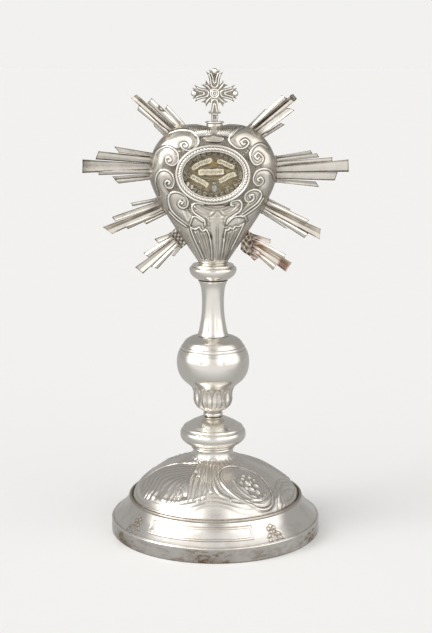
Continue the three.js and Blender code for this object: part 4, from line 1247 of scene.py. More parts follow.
def make_relic_ground():
    """The paper ground behind the glass: an oval sheet, cushioned in the middle and sunk at its rim."""
    columns, rows = 120, 34
    share = np.linspace(0.01, 1, rows)
    turn = np.linspace(0, 2 * math.pi, columns, endpoint=False)
    x = np.outer(share, np.cos(turn)) * RELIC_HALF[0]
    z = np.outer(share, np.sin(turn)) * RELIC_HALF[1]
    rng = np.random.default_rng(11)
    lumps = np.zeros(x.shape)
    for _ in range(26):
        angle, kx, kz = rng.uniform(0, 2 * math.pi), rng.uniform(-0.9, 0.9), rng.uniform(-0.9, 0.9)
        lumps += 0.05 * np.cos(kx * x + kz * z + angle)
    y = RELIC_Y + FRONT * (0.9 * (1 - share[:, None] ** 3) + lumps * (1 - share[:, None] ** 6))
    front = np.stack([x + STEM_X, y, z + WINDOW_Z], axis=-1)
    back = front[::-3].copy()
    back[..., 1] = mount_high[1]
    rings = np.concatenate([front, back])
    hollow = np.concatenate([np.repeat(0.75 * ease(0.6, 1.0, share)[:, None], columns, 1),
                             np.full(back.shape[:2], 0.4)])
    blank = Blank().add(skin(rings), hollow.ravel())
    finish_piece("relic_ground", blank, ground_paper, ["relic_mount"], crease=60)


def paper_strip(line, height, thickness=0.16):
    """A paper strip standing on edge along a line of [x, z], from the ground towards the glass."""
    line = np.array(line, float)
    ahead = np.gradient(line, axis=0)
    ahead /= np.maximum(np.linalg.norm(ahead, axis=1, keepdims=True), 1e-9)
    aside = np.stack([-ahead[:, 1], ahead[:, 0]], axis=-1) * thickness / 2
    low, high = RELIC_Y - 0.2, RELIC_Y - height
    corners = [(line + aside, low), (line + aside, high), (line - aside, high), (line - aside, low)]
    rings = np.stack([np.stack([p[:, 0], np.full(len(p), y), p[:, 1]], axis=-1) for p, y in corners], axis=1)
    return skin(rings)


def coil(centre, radius, turns, start, height):
    """A rolled paper coil seen end on."""
    steps = int(16 * turns)
    turn = np.linspace(0, 2 * math.pi * turns, steps)
    reach = radius * (1 - 0.8 * np.linspace(0, 1, steps))
    x = centre[0] + reach * np.cos(turn + start)
    z = centre[1] + reach * np.sin(turn + start)
    return paper_strip(np.stack([x, z], axis=-1), height)


def make_coils():
    """Quilled paper round the window's edge, with a few larger curls and loops further in."""
    rng = random.Random(23)
    blank = Blank()
    count = 30
    for k in range(count):
        turn = 2 * math.pi * (k + 0.2 * rng.random()) / count
        radius = rng.uniform(1.35, 1.85)
        right = (RELIC_HALF[0] - 2.6) * math.cos(turn)
        centre = (STEM_X + right, WINDOW_Z + (RELIC_HALF[1] - 2.5) * math.sin(turn))
        turns, start, height = rng.uniform(2.0, 3.0), rng.uniform(0, 6.28), rng.uniform(2.2, 3.0)
        blank.add(coil(centre, radius, turns, start, height), 0.05)
    inner = [(-9.6, 11), (-3.4, 11.6), (3.2, 12), (9.4, 11), (14.6, 6.6), (-15.2, 5.4), (-17, -1.2),
             (17.2, 0.4), (15.6, -6.6), (10.6, -10), (4.4, -11.8), (-4.2, -12.2), (-9.8, -10.4), (-3.4, 4.3),
             (4.4, 4.1), (7.4, -6.6)]
    for x, z in inner:
        centre = (STEM_X + x, WINDOW_Z + z)
        radius, turns = rng.uniform(1.3, 2.1), rng.uniform(1.6, 2.6)
        start, height = rng.uniform(0, 6.28), rng.uniform(1.8, 2.6)
        blank.add(coil(centre, radius, turns, start, height), 0.1)
    for _ in range(26):
        angle, reach = rng.uniform(0, 6.28), rng.uniform(0.55, 0.93)
        x = STEM_X + RELIC_HALF[0] * reach * math.cos(angle)
        z = WINDOW_Z + RELIC_HALF[1] * reach * math.sin(angle)
        bend = rng.uniform(0, 6.28)
        arc = [(x + 1.5 * math.cos(bend + t), z + 1.1 * math.sin(bend + t)) for t in np.linspace(0, 2.6, 7)]
        blank.add(paper_strip(arc, rng.uniform(1.6, 2.6)), 0.2)
    finish_piece("quilled_paper_coils", blank, coil_paper, crease=40)


# Each label: its middle from the window's centre, its tilt in degrees, its length and its width.
LABELS = [
    (-7.6, 7.2, 25, 15.2, 3.4), (9.0, 6.8, -23, 12.6, 3.1), (-1.2, 1.3, 1.5, 17.8, 4.2),
    (-9.4, -4.8, -30, 13.6, 3.4), (10.2, -2.4, 25, 13.0, 3.4),
]
# Ochre ribbons that tie the labels together: [right, up] from the window's centre.
RIBBONS = [
    [(-15.8, 3.4), (-10.6, 3.2), (-4, 4.8), (0.4, 5.4), (5, 4.8), (10.6, 2.6), (16.2, 3.0)],
    [(-15.6, 1.6), (-11, 0.2), (-6, -2.4), (0, -3.0), (4.4, -2.2), (8.6, 0.8), (15.8, 1.9)],
    [(-4.4, -5.6), (-1.6, -3.6), (3.4, -4.0), (6.4, -5.6)], [(8.2, 1.9), (12, 2.6), (16.6, 2.4)],
]


def make_labels():
    """Five paper labels, each with a row of plain pen strokes."""
    rng = random.Random(5)
    for number, (x, z, degrees, length, width) in enumerate(LABELS, 1):
        tilt = math.radians(degrees)
        along, up = np.array([math.cos(tilt), math.sin(tilt)]), np.array([-math.sin(tilt), math.cos(tilt)])
        steps = 22
        share = np.linspace(-0.5, 0.5, steps)
        bow = 0.55 * np.cos(share * math.pi) + 0.22 * np.cos(share * 8 + number)
        lift = RELIC_Y - 2.5 - 0.5 * np.cos(share * math.pi) - (0.5 if number == 3 else 0)
        half = width / 2 * (1 + 0.08 * np.sin(share * 21 + number) - 0.25 * ease(0.42, 0.5, np.abs(share)))
        rings = []
        for s, b, y, h in zip(share, bow, lift, half):
            middle = np.array([x, z]) + along * s * length + up * b
            rows = [(h, 0.0), (h, 0.14), (-h, 0.14), (-h, 0.0)]
            rings.append([[STEM_X + (middle + up * w)[0], y + d, WINDOW_Z + (middle + up * w)[1]]
                          for w, d in rows])
        blank = Blank().add(skin(np.array(rings)), 0.0)
        finish_piece(f"relic_label_{number}", blank, label_paper, crease=40)
        writing = Blank()
        pen = -0.40
        while pen < 0.40:
            tall = rng.uniform(0.45, 0.8) * width * 0.42
            slant = rng.uniform(-0.25, 0.35)
            s = pen
            b, y = np.interp(s, share, bow), np.interp(s, share, lift)
            middle = np.array([x, z]) + along * s * length + up * b
            low, high = middle - up * tall - along * slant, middle + up * tall + along * slant
            stroke = [(STEM_X + p[0], y - 0.1, WINDOW_Z + p[1]) for p in (low, (low + high) / 2, high)]
            writing.add(wire(stroke, 0.2, sides=4, flatten=(1, 0.6)))
            pen += rng.uniform(0.045, 0.09)
        finish_piece(f"label_strokes_{number}", writing, ink, crease=40)


def make_ribbons():
    """Flat ochre ribbons laid between the labels."""
    blank = Blank()
    for number, points in enumerate(RIBBONS):
        line = spline(points, 6)
        y = RELIC_Y - 2.1 - 0.08 * number - 0.25 * np.sin(np.linspace(0, math.pi, len(line)))
        laid = np.stack([STEM_X + line[:, 0], y, WINDOW_Z + line[:, 1]], axis=-1)
        blank.add(wire(laid, 0.62, sides=6, flatten=(1.0, 0.3)), 0.1)
    finish_piece("ochre_ribbons", blank, ribbon_paper, crease=40)


def make_small_relics():
    """A gilt ring above the middle label, a grey bead below it and two slips of bone at the lower left."""
    ring = Blank()
    for reach in (2.6, 1.9, 1.2):
        turn = np.linspace(0, 2 * math.pi, 28, endpoint=False)
        line = np.stack([STEM_X + 0.2 + reach * np.cos(turn), np.full(28, RELIC_Y - 2.4 + 0.2 * reach),
                         WINDOW_Z + 6.6 + 0.85 * reach * np.sin(turn)], axis=-1)
        ring.add(wire(line, 0.26, sides=8, closed=True))
    ring.add(ball((STEM_X + 0.2, RELIC_Y - 2.6, WINDOW_Z + 6.6), (0.7, 0.6, 0.7)))
    finish_piece("gilt_thread_ring", ring, gilt, crease=60)
    bead = Blank().add(ball((STEM_X + 1.2, RELIC_Y - 2.6, WINDOW_Z - 10.0), (2.0, 1.2, 2.5), 12, 20))
    bead.add(ball((STEM_X + 1.0, RELIC_Y - 2.0, WINDOW_Z - 6.4), (1.2, 0.8, 1.0), 8, 14))
    finish_piece("grey_bead", bead, pearl, crease=60)
    slips = Blank()
    for x, z, degrees in ((-17.4, -7.0, 70), (-14.6, -8.9, 74)):
        tilt = math.radians(degrees)
        reach = np.linspace(-1.6, 1.6, 7)
        line = np.stack([STEM_X + x + reach * math.cos(tilt), np.full(7, RELIC_Y - 3.0),
                         WINDOW_Z + z + reach * math.sin(tilt)], axis=-1)
        slips.add(wire(line, 0.8, sides=8, flatten=(1, 0.6)))
    finish_piece("bone_slips", slips, bone, crease=60)


def dress_glass():
    """The window's flat glass keeps its solid and takes the clear finish."""
    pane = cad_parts["window_glass"]
    for holder in pane.material_slots:
        holder.material = glass


# ------------------------------------------------------------------ cross
CROSS_Z = cross_high[2] - 17.7
CROSS_THICK = 2.2


def upright(places, y):
    """Places given as [right, height], stood upright at a depth."""
    places = np.asarray(places, float)
    return np.stack([places[..., 0], np.broadcast_to(y, places.shape[:-1]), places[..., 1]], axis=-1)


def plate(outline, thickness, bevel):
    """A flat plate with rounded edges, standing upright, from its outline in [x, z]."""
    outline = np.array(outline, float)
    ahead = np.roll(outline, -1, axis=0) - np.roll(outline, 1, axis=0)
    normal = np.stack([ahead[:, 1], -ahead[:, 0]], axis=-1)
    normal /= np.maximum(np.linalg.norm(normal, axis=1, keepdims=True), 1e-9)
    area = np.sum(outline[:, 0] * np.roll(outline[:, 1], -1) - np.roll(outline[:, 0], -1) * outline[:, 1])
    normal *= np.sign(area)
    rings = []
    half = thickness / 2
    for y, inset in ((-half, bevel), (-half + bevel * 0.4, bevel * 0.35), (-half + bevel, 0),
                     (half - bevel, 0), (half - bevel * 0.4, bevel * 0.35), (half, bevel)):
        rings.append(upright(outline - normal * inset, y))
    return skin(np.array(rings))


def turn_in_plane(points, degrees):
    turn = math.radians(degrees)
    points = np.array(points, float)
    cos, sin = math.cos(turn), math.sin(turn)
    x, z = points[:, 0], points[:, 1]
    return np.stack([x * cos - z * sin, x * sin + z * cos], axis=-1)


def arm_outline(length):
    """An arm's outline: a waist, an outer horn, a prong beside the tip bead, and its mirror image."""
    upper = np.vstack([
        spline([(1.2, 1.8), (3.2, 3.5), (5.2, 3.5), (7.4, 3.5), (length - 6.6, 4.1), (length - 4.4, 5.0),
                (length - 2.4, 6.2)], 3),
        spline([(length - 3.2, 4.6), (length - 4.2, 3.7), (length - 3.9, 3.3), (length - 2.6, 3.4),
                (length - 0.9, 3.9)], 3),
        [(length - 2.2, 2.2), (length - 2.8, 1.2)],
    ])
    return np.vstack([upper, upper[::-1] * [1, -1]])


def leaf_outline():
    upper = spline([(1.5, 0.9), (4.4, 1.6), (7.2, 1.7), (9.2, 1.9), (10.9, 2.5)], 3)
    return np.vstack([upper, [(9.6, 0.6), (9.6, -0.6)], upper[::-1] * [1, -1]])


def both_faces(line, lift):
    """The same line laid on the front and the back face of the cross."""
    return [upright(line, side * lift) for side in (-1, 1)]


def bent_line(points, steps=5):
    """A line and its mirror image joined at the near end, as one bent line."""
    half = spline(points, steps)
    return np.vstack([half, half[-2::-1] * [1, -1]])


def make_cross():
    """A flory cross: dark plates, and on both faces burnished lines, a boss and beads at the tips."""
    ground, lines = Blank(), Blank()
    face = CROSS_THICK / 2
    turn = np.linspace(0, 2 * math.pi, 17)[:-1]
    circle = np.stack([np.cos(turn), np.sin(turn)], axis=-1)

    def lay(points, degrees, radius, lift=0.0):
        for laid in both_faces(turn_in_plane(points, degrees), face + lift):
            lines.add(wire(laid, radius, sides=8))

    arm_length = cross_high[0] - CROSS_X
    for degrees, length in ((0, arm_length), (180, arm_length), (90, cross_high[2] - CROSS_Z)):
        ground.add(plate(turn_in_plane(arm_outline(length), degrees), CROSS_THICK, 0.16), 0.8)
        outer = [(length - 4.3, 4.25), (length - 6.0, 3.35), (length - 8.8, 2.7), (6.2, 2.35), (4.7, 1.5),
                 (4.2, 0)]
        inner = [(length - 3.4, 2.8), (length - 5.2, 1.85), (length - 7.6, 1.15), (8.0, 0.95), (7.0, 0)]
        lay(bent_line(outer), degrees, 0.42)
        lay(bent_line(inner), degrees, 0.36)
        tip = turn_in_plane([(length - 2.2, 0)], degrees)[0]
        lines.add(ball((tip[0], 0, tip[1]), (1.95, 1.8, 1.95), 9, 14))
        ground.add(plate(tip + circle * 2.2, CROSS_THICK * 0.7, 0.16), 0.85)
    for degrees in (45, 135, 225, 315):
        ground.add(plate(turn_in_plane(leaf_outline(), degrees), CROSS_THICK * 0.9, 0.16), 0.8)
        lay([(3.5, 0), (6.5, 0), (8.2, 0.1), (9.6, 0.8)], degrees, 0.42)
    drop = CROSS_Z - cross_low[2]
    shank = np.vstack([
        spline([(1.2, 1.6), (3.6, 3.0), (6.4, 2.7), (9.6, 3.1), (12.2, 3.9)], 3),
        [(13.4, 4.4), (13.9, 4.0), (14.1, 2.5), (drop - 0.4, 2.4), (drop, 2.2)],
    ])
    shank = np.vstack([shank, shank[::-1] * [1, -1]])
    ground.add(plate(turn_in_plane(shank, 270), CROSS_THICK + 0.2, 0.2), 0.7)
    lay(bent_line([(12.8, 3.5), (10.0, 2.7), (6.4, 2.2), (4.7, 1.5), (4.2, 0)]), 270, 0.48)
    lay(bent_line([(13.2, 1.9), (10.6, 1.2), (8.0, 0.75), (7.0, 0)]), 270, 0.42)
    for side in (1, -1):
        lay([(14.9, 1.7 * side), (17, 1.75 * side), (drop - 0.8, 1.7 * side)], 270, 0.42, 0.1)
    for band in (14.4, drop - 0.7):
        lay([(band, -2.0), (band, 0), (band, 2.0)], 270, 0.42, 0.1)
    ground.add(plate(circle * 7.2, CROSS_THICK * 0.7, 0.2), 0.85)
    ground.add(plate(circle * 3.5, CROSS_THICK + 0.8, 0.4), 0.6)
    for radius, thick in ((2.95, 0.55), (1.65, 0.4)):
        for laid in both_faces(circle * radius, face + 0.35):
            lines.add(wire(laid, thick, sides=8, closed=True))
    lines.add(ball((0, 0, 0), (0.85, face + 1.0, 0.85), 10, 18))
    for blank in (ground, lines):
        blank.vertices = (np.array(blank.vertices) + np.array([CROSS_X, 0, CROSS_Z]) * MM).tolist()
    finish_piece("flory_cross", ground, chased, ["cross"], crease=40)
    finish_piece("flory_cross_lines", lines, burnished, crease=50)


def make_cross_socket():
    z0, z1 = socket_low[2], socket_high[2]
    profile = np.vstack([
        [[3.4, z0]],
        spline([[4.6, z0 + 0.3], [5.6, z0 + 1.4], [5.9, z0 + 2.8], [5.5, z1 - 1.5]], 4),
        [[5.6, z1 - 1.3], [6.4, z1 - 1.1]],
        spline([[6.7, z1 - 0.8], [6.7, z1 - 0.3], [6.3, z1 - 0.05]], 3),
        [[5.2, z1], [5.0, z1 - 0.3], [2.9, z1 - 0.3]],
    ])
    rings = turned(refine(profile, 0.3), 96, CROSS_X)
    fine = refine(profile, 0.3)
    hollow = 0.8 * bump_at(fine[:, 1] - (z1 - 1.4), 0.4)
    blank = Blank().add(skin(rings), np.repeat(hollow, 96))
    finish_piece("cross_socket_cup", blank, polished, ["cross_socket"], crease=40)


# ------------------------------------------------------------------ rays
RAY_Y = 1.2
RAY_SHEET = 0.5
# A bundle's blades from the upper edge to the lower one: the two root corners, then the two tip
# corners, each as [right, height]; then the cross-section and how dark the painted shade on its low side is.
RAYS = {
    "rays_upper_left": [
        [(-20.8, 297.9), (-23.2, 296.6), (-33.9, 312.3), (-35.6, 309.5), "roof", 0.1],
        [(-23.2, 296.6), (-28.5, 295.5), (-44.9, 316.9), (-47.9, 313.5), "roof", 0.1],
        [(-28.5, 295.5), (-32.2, 292.8), (-55.4, 319.5), (-59.5, 316.8), "groove", 0.6],
        [(-32.2, 292.8), (-34.1, 291.3), (-53.9, 312.1), (-55.0, 308.5), "roof", 0.15],
        [(-34.1, 291.3), (-36.1, 289.9), (-43.9, 298.9), (-43.4, 297.1), "fall", 0.5],
    ],
    "rays_left": [
        [(-45.0, 278.4), (-45.3, 275.5), (-72.0, 282.9), (-68.4, 278.6), "rise", 0.45],
        [(-45.3, 275.5), (-46.3, 270.9), (-83.0, 279.5), (-85.3, 273.7), "roof", 0.4],
        [(-46.3, 270.9), (-46.8, 266.5), (-94.5, 273.7), (-94.8, 264.0), "trough", 0.35],
        [(-46.8, 266.5), (-46.8, 263.8), (-83.1, 266.6), (-83.3, 262.5), "roof", 0.25],
        [(-46.8, 263.8), (-47.0, 261.6), (-73.5, 261.7), (-71.8, 259.5), "fall", 0.4],
        [(-47.0, 261.6), (-46.7, 259.3), (-72.1, 259.5), (-69.0, 256.5), "roof", 0.3],
    ],
    "rays_lower_left": [
        [(-42.7, 246.1), (-41.8, 243.9), (-60.5, 242.6), (-59.2, 240.2), "roof", 0.4],
        [(-41.8, 243.9), (-40.6, 240.4), (-74.1, 232.6), (-71.9, 229.5), "rise", 0.5],
        [(-40.6, 240.4), (-37.5, 237.4), (-81.0, 225.4), (-74.1, 220.3), "groove", 0.4],
        [(-37.5, 237.4), (-36.0, 236.1), (-66.1, 226.9), (-62.7, 223.8), "roof", 0.4],
        [(-36.0, 236.1), (-34.5, 234.7), (-51.5, 229.2), (-49.4, 227.3), "roof", 0.5],
    ],
    "rays_bottom_left": [
        [(-32.7, 220.7), (-31.8, 218.8), (-43.9, 216.6), (-41.2, 213.8), "rise", 0.45],
        [(-31.8, 218.8), (-30.2, 216.4), (-51.7, 206.6), (-47.5, 202.9), "roof", 0.15],
        [(-30.2, 216.4), (-28.0, 214.2), (-57.9, 196.3), (-52.3, 191.5), "trough", 0.15],
        [(-28.0, 214.2), (-26.2, 212.0), (-46.5, 196.5), (-41.7, 195.0), "roof", 0.15],
        [(-26.2, 212.0), (-24.3, 210.5), (-31.4, 204.7), (-29.7, 204.0), "fall", 0.15],
    ],
    "rays_upper_right": [
        [(22.7, 297.3), (23.9, 296.6), (34.4, 308.8), (35.7, 309.0), "fall", 0.6],
        [(23.9, 296.6), (27.0, 296.0), (46.7, 318.9), (50.8, 316.6), "roof", 0.2],
        [(27.0, 296.0), (29.6, 294.2), (52.6, 318.6), (56.2, 315.0), "groove", 1.0],
        [(29.6, 294.2), (33.2, 291.2), (50.6, 310.2), (55.9, 308.6), "rise", 0.25],
        [(33.2, 291.2), (34.9, 289.2), (46.3, 299.5), (49.1, 298.2), "roof", 0.3],
    ],
    "rays_right": [
        [(43.0, 276.1), (43.7, 274.5), (67.5, 280.2), (69.0, 277.8), "fall", 0.7],
        [(43.7, 274.5), (44.3, 272.2), (72.1, 278.0), (73.7, 275.2), "roof", 0.3],
        [(44.3, 272.2), (44.4, 268.6), (83.2, 275.2), (82.8, 271.1), "roof", 0.2],
        [(44.4, 268.6), (44.4, 264.7), (94.4, 273.8), (95.0, 264.8), "fall", 0.25],
        [(44.4, 264.7), (44.9, 259.8), (86.9, 264.7), (85.2, 258.7), "fall", 0.25],
        [(44.9, 259.8), (43.1, 257.5), (71.3, 258.1), (74.0, 254.1), "trough", 0.3],
    ],
    "rays_lower_right": [
        [(37.9, 246.1), (37.0, 244.8), (53.1, 238.5), (53.8, 237.2), "fall", 0.5],
        [(37.0, 244.8), (35.7, 241.6), (67.0, 230.5), (64.6, 227.6), "roof", 0.2],
        [(35.7, 241.6), (34.8, 238.5), (75.5, 224.2), (74.8, 216.5), "groove", 0.35],
        [(34.8, 238.5), (33.8, 236.7), (66.8, 220.8), (63.8, 217.4), "roof", 0.1],
        [(33.8, 236.7), (32.6, 235.4), (51.9, 224.2), (49.7, 224.6), "fall", 0.5],
    ],
    "rays_bottom_right": [
        [(25.5, 220.9), (25.9, 218.9), (39.7, 216.4), (39.4, 213.4), "rise", 0.45],
        [(25.9, 218.9), (25.6, 215.8), (50.5, 205.7), (49.5, 201.1), "roof", 0.2],
        [(25.6, 215.8), (25.3, 212.1), (55.1, 199.6), (51.0, 192.8), "groove", 0.4],
        [(25.3, 212.1), (25.9, 208.2), (43.7, 197.8), (41.6, 194.1), "roof", 0.25],
        [(25.9, 208.2), (24.3, 204.9), (31.1, 203.0), (27.9, 200.7), "fall", 0.4],
    ],
}
# Across a blade, from its upper edge: share of its width, and how far it stands forward.
SECTIONS = {
    "roof": [(0, 0.15), (0.42, 0.95), (1, 0.0)],
    "trough": [(0, 0.9), (0.5, 0.15), (1, 0.75)],
    "rise": [(0, 0.1), (0.62, 0.5), (1, 1.1)],
    "fall": [(0, 1.0), (0.45, 0.55), (1, 0.0)],
    "groove": [(0, 0.85), (0.36, -0.55), (0.5, 0.45), (1, 0.75)],
}
TABS = {"rays_lower_left": 3.2, "rays_bottom_left": 7.0, "rays_right": 2.0, "rays_lower_right": 2.6,
        "rays_bottom_right": 7.0}
CURLED_BLADE = ("rays_upper_right", 2)
COPPER_BLADE = ("rays_bottom_right", 2)
CHIPPED_BLADE = ("rays_upper_left", 1)
EDGE_SHADE_LINE = 1.8


def within_heart(places, margin):
    x, z = places[..., 0] - STEM_X, places[..., 1]
    return (z > HEART_BASE) & (z < HEART_TOP) & (np.abs(x) < half_width(z) - margin)


def reach_heart(root, tip, margin=0.3):
    """The share along a blade's edge, negative beyond its root, that lies just inside the heart."""
    shares = np.arange(0.6, -0.9, -0.01)
    places = root + (tip - root) * shares[:, None]
    hits = within_heart(places, margin)
    return shares[np.argmax(hits)] if hits.any() else 0.0


def blade_section(kind, tall, width):
    """A blade's cross-section with extra points near its edges, where a painted shade line runs."""
    share, height = np.array(SECTIONS[kind], float).T
    line = min(EDGE_SHADE_LINE / width, 0.2)
    inner = share[1:-1]
    stops = np.unique(np.concatenate([[0, line * 0.5, line, 1 - line, 1 - line * 0.5, 1], inner,
                                      inner - 0.03, inner + 0.03, np.linspace(0, 1, 7)]))
    return stops, tall * np.interp(stops, share, height), line


def make_rays(name, blades):
    rng = np.random.default_rng(sum(map(ord, name)))
    blank = Blank()
    bow = rng.uniform(-0.9, 0.9)
    corners = np.array([blade[:4] for blade in blades], float)
    length = np.linalg.norm(corners[:, 2:].mean(1) - corners[:, :2].mean(1), axis=1)
    for k, (_, _, _, _, kind, low_side_shade) in enumerate(blades):
        root_a, root_b, tip_a, tip_b = corners[k]
        width = np.linalg.norm(tip_a - tip_b) * 0.5 + np.linalg.norm(root_a - root_b) * 0.5
        tall = min(1.0, width / 4.2) * 1.5
        stops, heights, line = blade_section(kind, tall, width)
        start_a, start_b = reach_heart(root_a, tip_a), reach_heart(root_b, tip_b)
        at_tip = [1 - 0.7 / length[k], 1 - 0.35 / length[k], 1]
        share = np.append(np.linspace(0, 1 - 1.2 / length[k], 34), at_tip)[:, None]
        along = start_a * (1 - stops) + start_b * stops
        along = along + (1 - along) * share
        edge_a = root_a + (tip_a - root_a) * along[..., None]
        edge_b = root_b + (tip_b - root_b) * along[..., None]
        places = edge_a + (edge_b - edge_a) * stops[None, :, None]
        run = along * length[k]
        lift = 0.28 * (k % 2) + 0.12
        wave = 0.16 * np.sin(run * rng.uniform(0.12, 0.22) + rng.uniform(0, 6))
        wave = wave + 0.025 * np.sin(run * 0.9 + 5 * stops)
        y = RAY_Y - heights * ease(-0.12, 0.22, along) - lift + wave * ease(2, 12, run)
        y = y + bow * (run / 45) ** 2
        deep = 1 - (heights - heights.min()) / max(np.ptp(heights), 1e-6)
        # Painted shade: the low side of each blade's section is darkened, and dark lines run along both edges
        # where one blade lies against the next, strongest at the lower edge. The blade is also darker near
        # its root, under the heart's edge.
        dark = np.broadcast_to(low_side_shade * deep**0.8, run.shape).copy()
        dark[:, stops < line * 0.6] += 0.6
        dark[:, stops > 1 - line * 0.6] += 0.95
        dark += 0.3 * (1 - ease(0, 9, run)) + 0.8 * ease(length[k] - 1.0, length[k] - 0.1, run)
        if kind == "groove":
            dark *= 0.35 + 0.65 * (1 - ease(0.84, 0.96, along))
        if name in ("rays_left", "rays_lower_left"):
            dark += 0.13
        if name == "rays_left" and k == 2:
            dark += 0.45 * ease(0.84, 0.98, along)
        dark *= 0.88 + 0.1 * np.sin(run * 0.21 + 3 * k) + 0.06 * np.sin(run * 0.55 + 5 * k)
        copper = np.zeros(run.shape)
        if name == "rays_bottom_right":
            y = y - 0.5 * np.sin(run * 0.8 + 9 * stops + k) * (1 - ease(2, 12, run))
            copper = 0.38 * (1 - ease(4, 17, run)) + 0.1
            dark = 0.55 * dark + 0.2 * (1 - ease(0, 7, run))
        if (name, k) == COPPER_BLADE:
            patch = ease(0.72, 0.78, along) * (1 - ease(0.95, 0.99, along)) * ease(0.3, 0.45, stops)
            copper, dark = np.maximum(copper, 1.6 * patch), dark + 0.62 * patch
        if (name, k) == CHIPPED_BLADE:
            off_chip = np.hypot((along - 0.66) * 13, (stops - 0.2) * 4)
            y, dark = y + 0.5 * bump_at(off_chip, 1.0), dark + 1.1 * bump_at(off_chip - 0.9, 0.5)
        sheet = np.concatenate([upright(places, y), upright(places, y + RAY_SHEET)[:, ::-1]], axis=1)
        dark = np.concatenate([dark, np.full(dark.shape, 0.4)], axis=1)
        copper = np.concatenate([copper, copper[:, ::-1]], axis=1)
        blank.add(skin(sheet), np.clip(dark, 0, 1).ravel(), np.clip(copper, 0, 1).ravel())
        if (name, k) == CURLED_BLADE:
            ahead = tip_a + tip_b - root_a - root_b
            add_curl(blank, (tip_a + tip_b) / 2, ahead / np.linalg.norm(ahead), y[-1].mean())
    if name in TABS:
        add_tab(blank, corners, TABS[name], name == "rays_bottom_right", name == "rays_bottom_left")
    finish_piece(name + "_sheet", blank, rayed, [name], crease=22)


def add_curl(blank, tip, direction, y):
    """The end of the longest blade, rolled forward into a small tube."""
    across = np.array([-direction[1], direction[0]])
    turn = np.linspace(-0.4, 1.75 * math.pi, 30)
    radius = 1.95 - 0.10 * turn
    rings, hollow = [], []
    for side in np.linspace(-1, 1, 9):
        outer, inner = [], []
        for angle, r in zip(turn, radius):
            sideways = across * side * (2.5 - 0.22 * max(angle, 0))
            centre = tip + direction * (r * math.sin(angle) + 0.3) + sideways
            outer.append((centre[0], y - 2.0 + r * math.cos(angle), centre[1]))
            small = (r - 0.35) / r
            back = tip + direction * (r * small * math.sin(angle) + 0.3) + sideways
            inner.append((back[0], y - 2.0 + r * small * math.cos(angle), back[1]))
        rings.append(outer + inner[::-1])
        hollow.append([0.3 + 0.6 * (angle > 1.3) for angle in turn] + [0.95] * len(turn))
    blank.add(skin(np.array(rings)), np.array(hollow).ravel())


def add_tab(blank, corners, depth, crumpled, ornamented):
    """The sleeve at a bundle's root that is soldered to the heart, with a bead along its outer edge."""
    first, last = corners[0, 0], corners[-1, 1]
    out = corners[:, 2:].mean((0, 1)) - corners[:, :2].mean((0, 1))
    out /= np.linalg.norm(out)
    columns, rows = 31, 21
    across = np.linspace(-0.02, 1.02, columns)
    edge = first + (last - first) * across[:, None] + out * (1.6 if crumpled else 0.6)
    shares = np.linspace(1, 0, rows)[:, None]
    hits = within_heart(edge[None] - np.arange(0, depth + 6, 0.1)[:, None, None] * out, 0.3)
    run = np.where(hits.any(0), np.argmax(hits, axis=0) * 0.1, depth)
    run = np.minimum(run, depth + 2.0)
    places = edge[None] - out * (run[None, :] * shares)[..., None]
    bead = 0.55 * bump_at(1 - shares - 0.92, 0.1)
    y = RAY_Y - 1.25 - bead
    dark = 0.45 + 0.35 * bump_at(1 - shares - 0.78, 0.1)
    place_u, place_v = across * np.linalg.norm(last - first), (1 - shares) * run.mean()
    if crumpled:
        fold = np.sin(place_u * 1.5 + 1.2 * np.sin(place_v * 1.1)) * 0.5
        fold = fold + 0.4 * np.sin(place_v * 2.1 + place_u * 0.7)
        y, dark = y - 0.75 * fold, 0.6 - 0.45 * fold
        places = places + out * 0.7 * np.sin(place_u * 1.3)[..., None] * (shares == 0)[..., None]
    elif ornamented:
        knot = np.cos(place_u * 1.9) * np.cos(place_v * 1.7)
        from_side, from_end = np.minimum(across, 1 - across) * 10, np.minimum(shares, 1 - shares) * 7
        frame_line = bump_at(np.minimum(from_side, from_end) - 0.7, 0.6)
        y, dark = y - 0.3 * knot - 0.3 * frame_line, 0.8 - 0.4 * knot - 0.3 * frame_line
    front, back = upright(places, y), upright(places, RAY_Y + 0.9)[:, ::-1]
    dark = np.concatenate([np.broadcast_to(dark, places.shape[:2]), np.full(places.shape[:2], 0.4)], axis=1)
    sleeve = skin(np.concatenate([front, back], axis=1))
    blank.add(sleeve, np.clip(dark, 0, 1).ravel(), 0.35 if crumpled else 0.0)


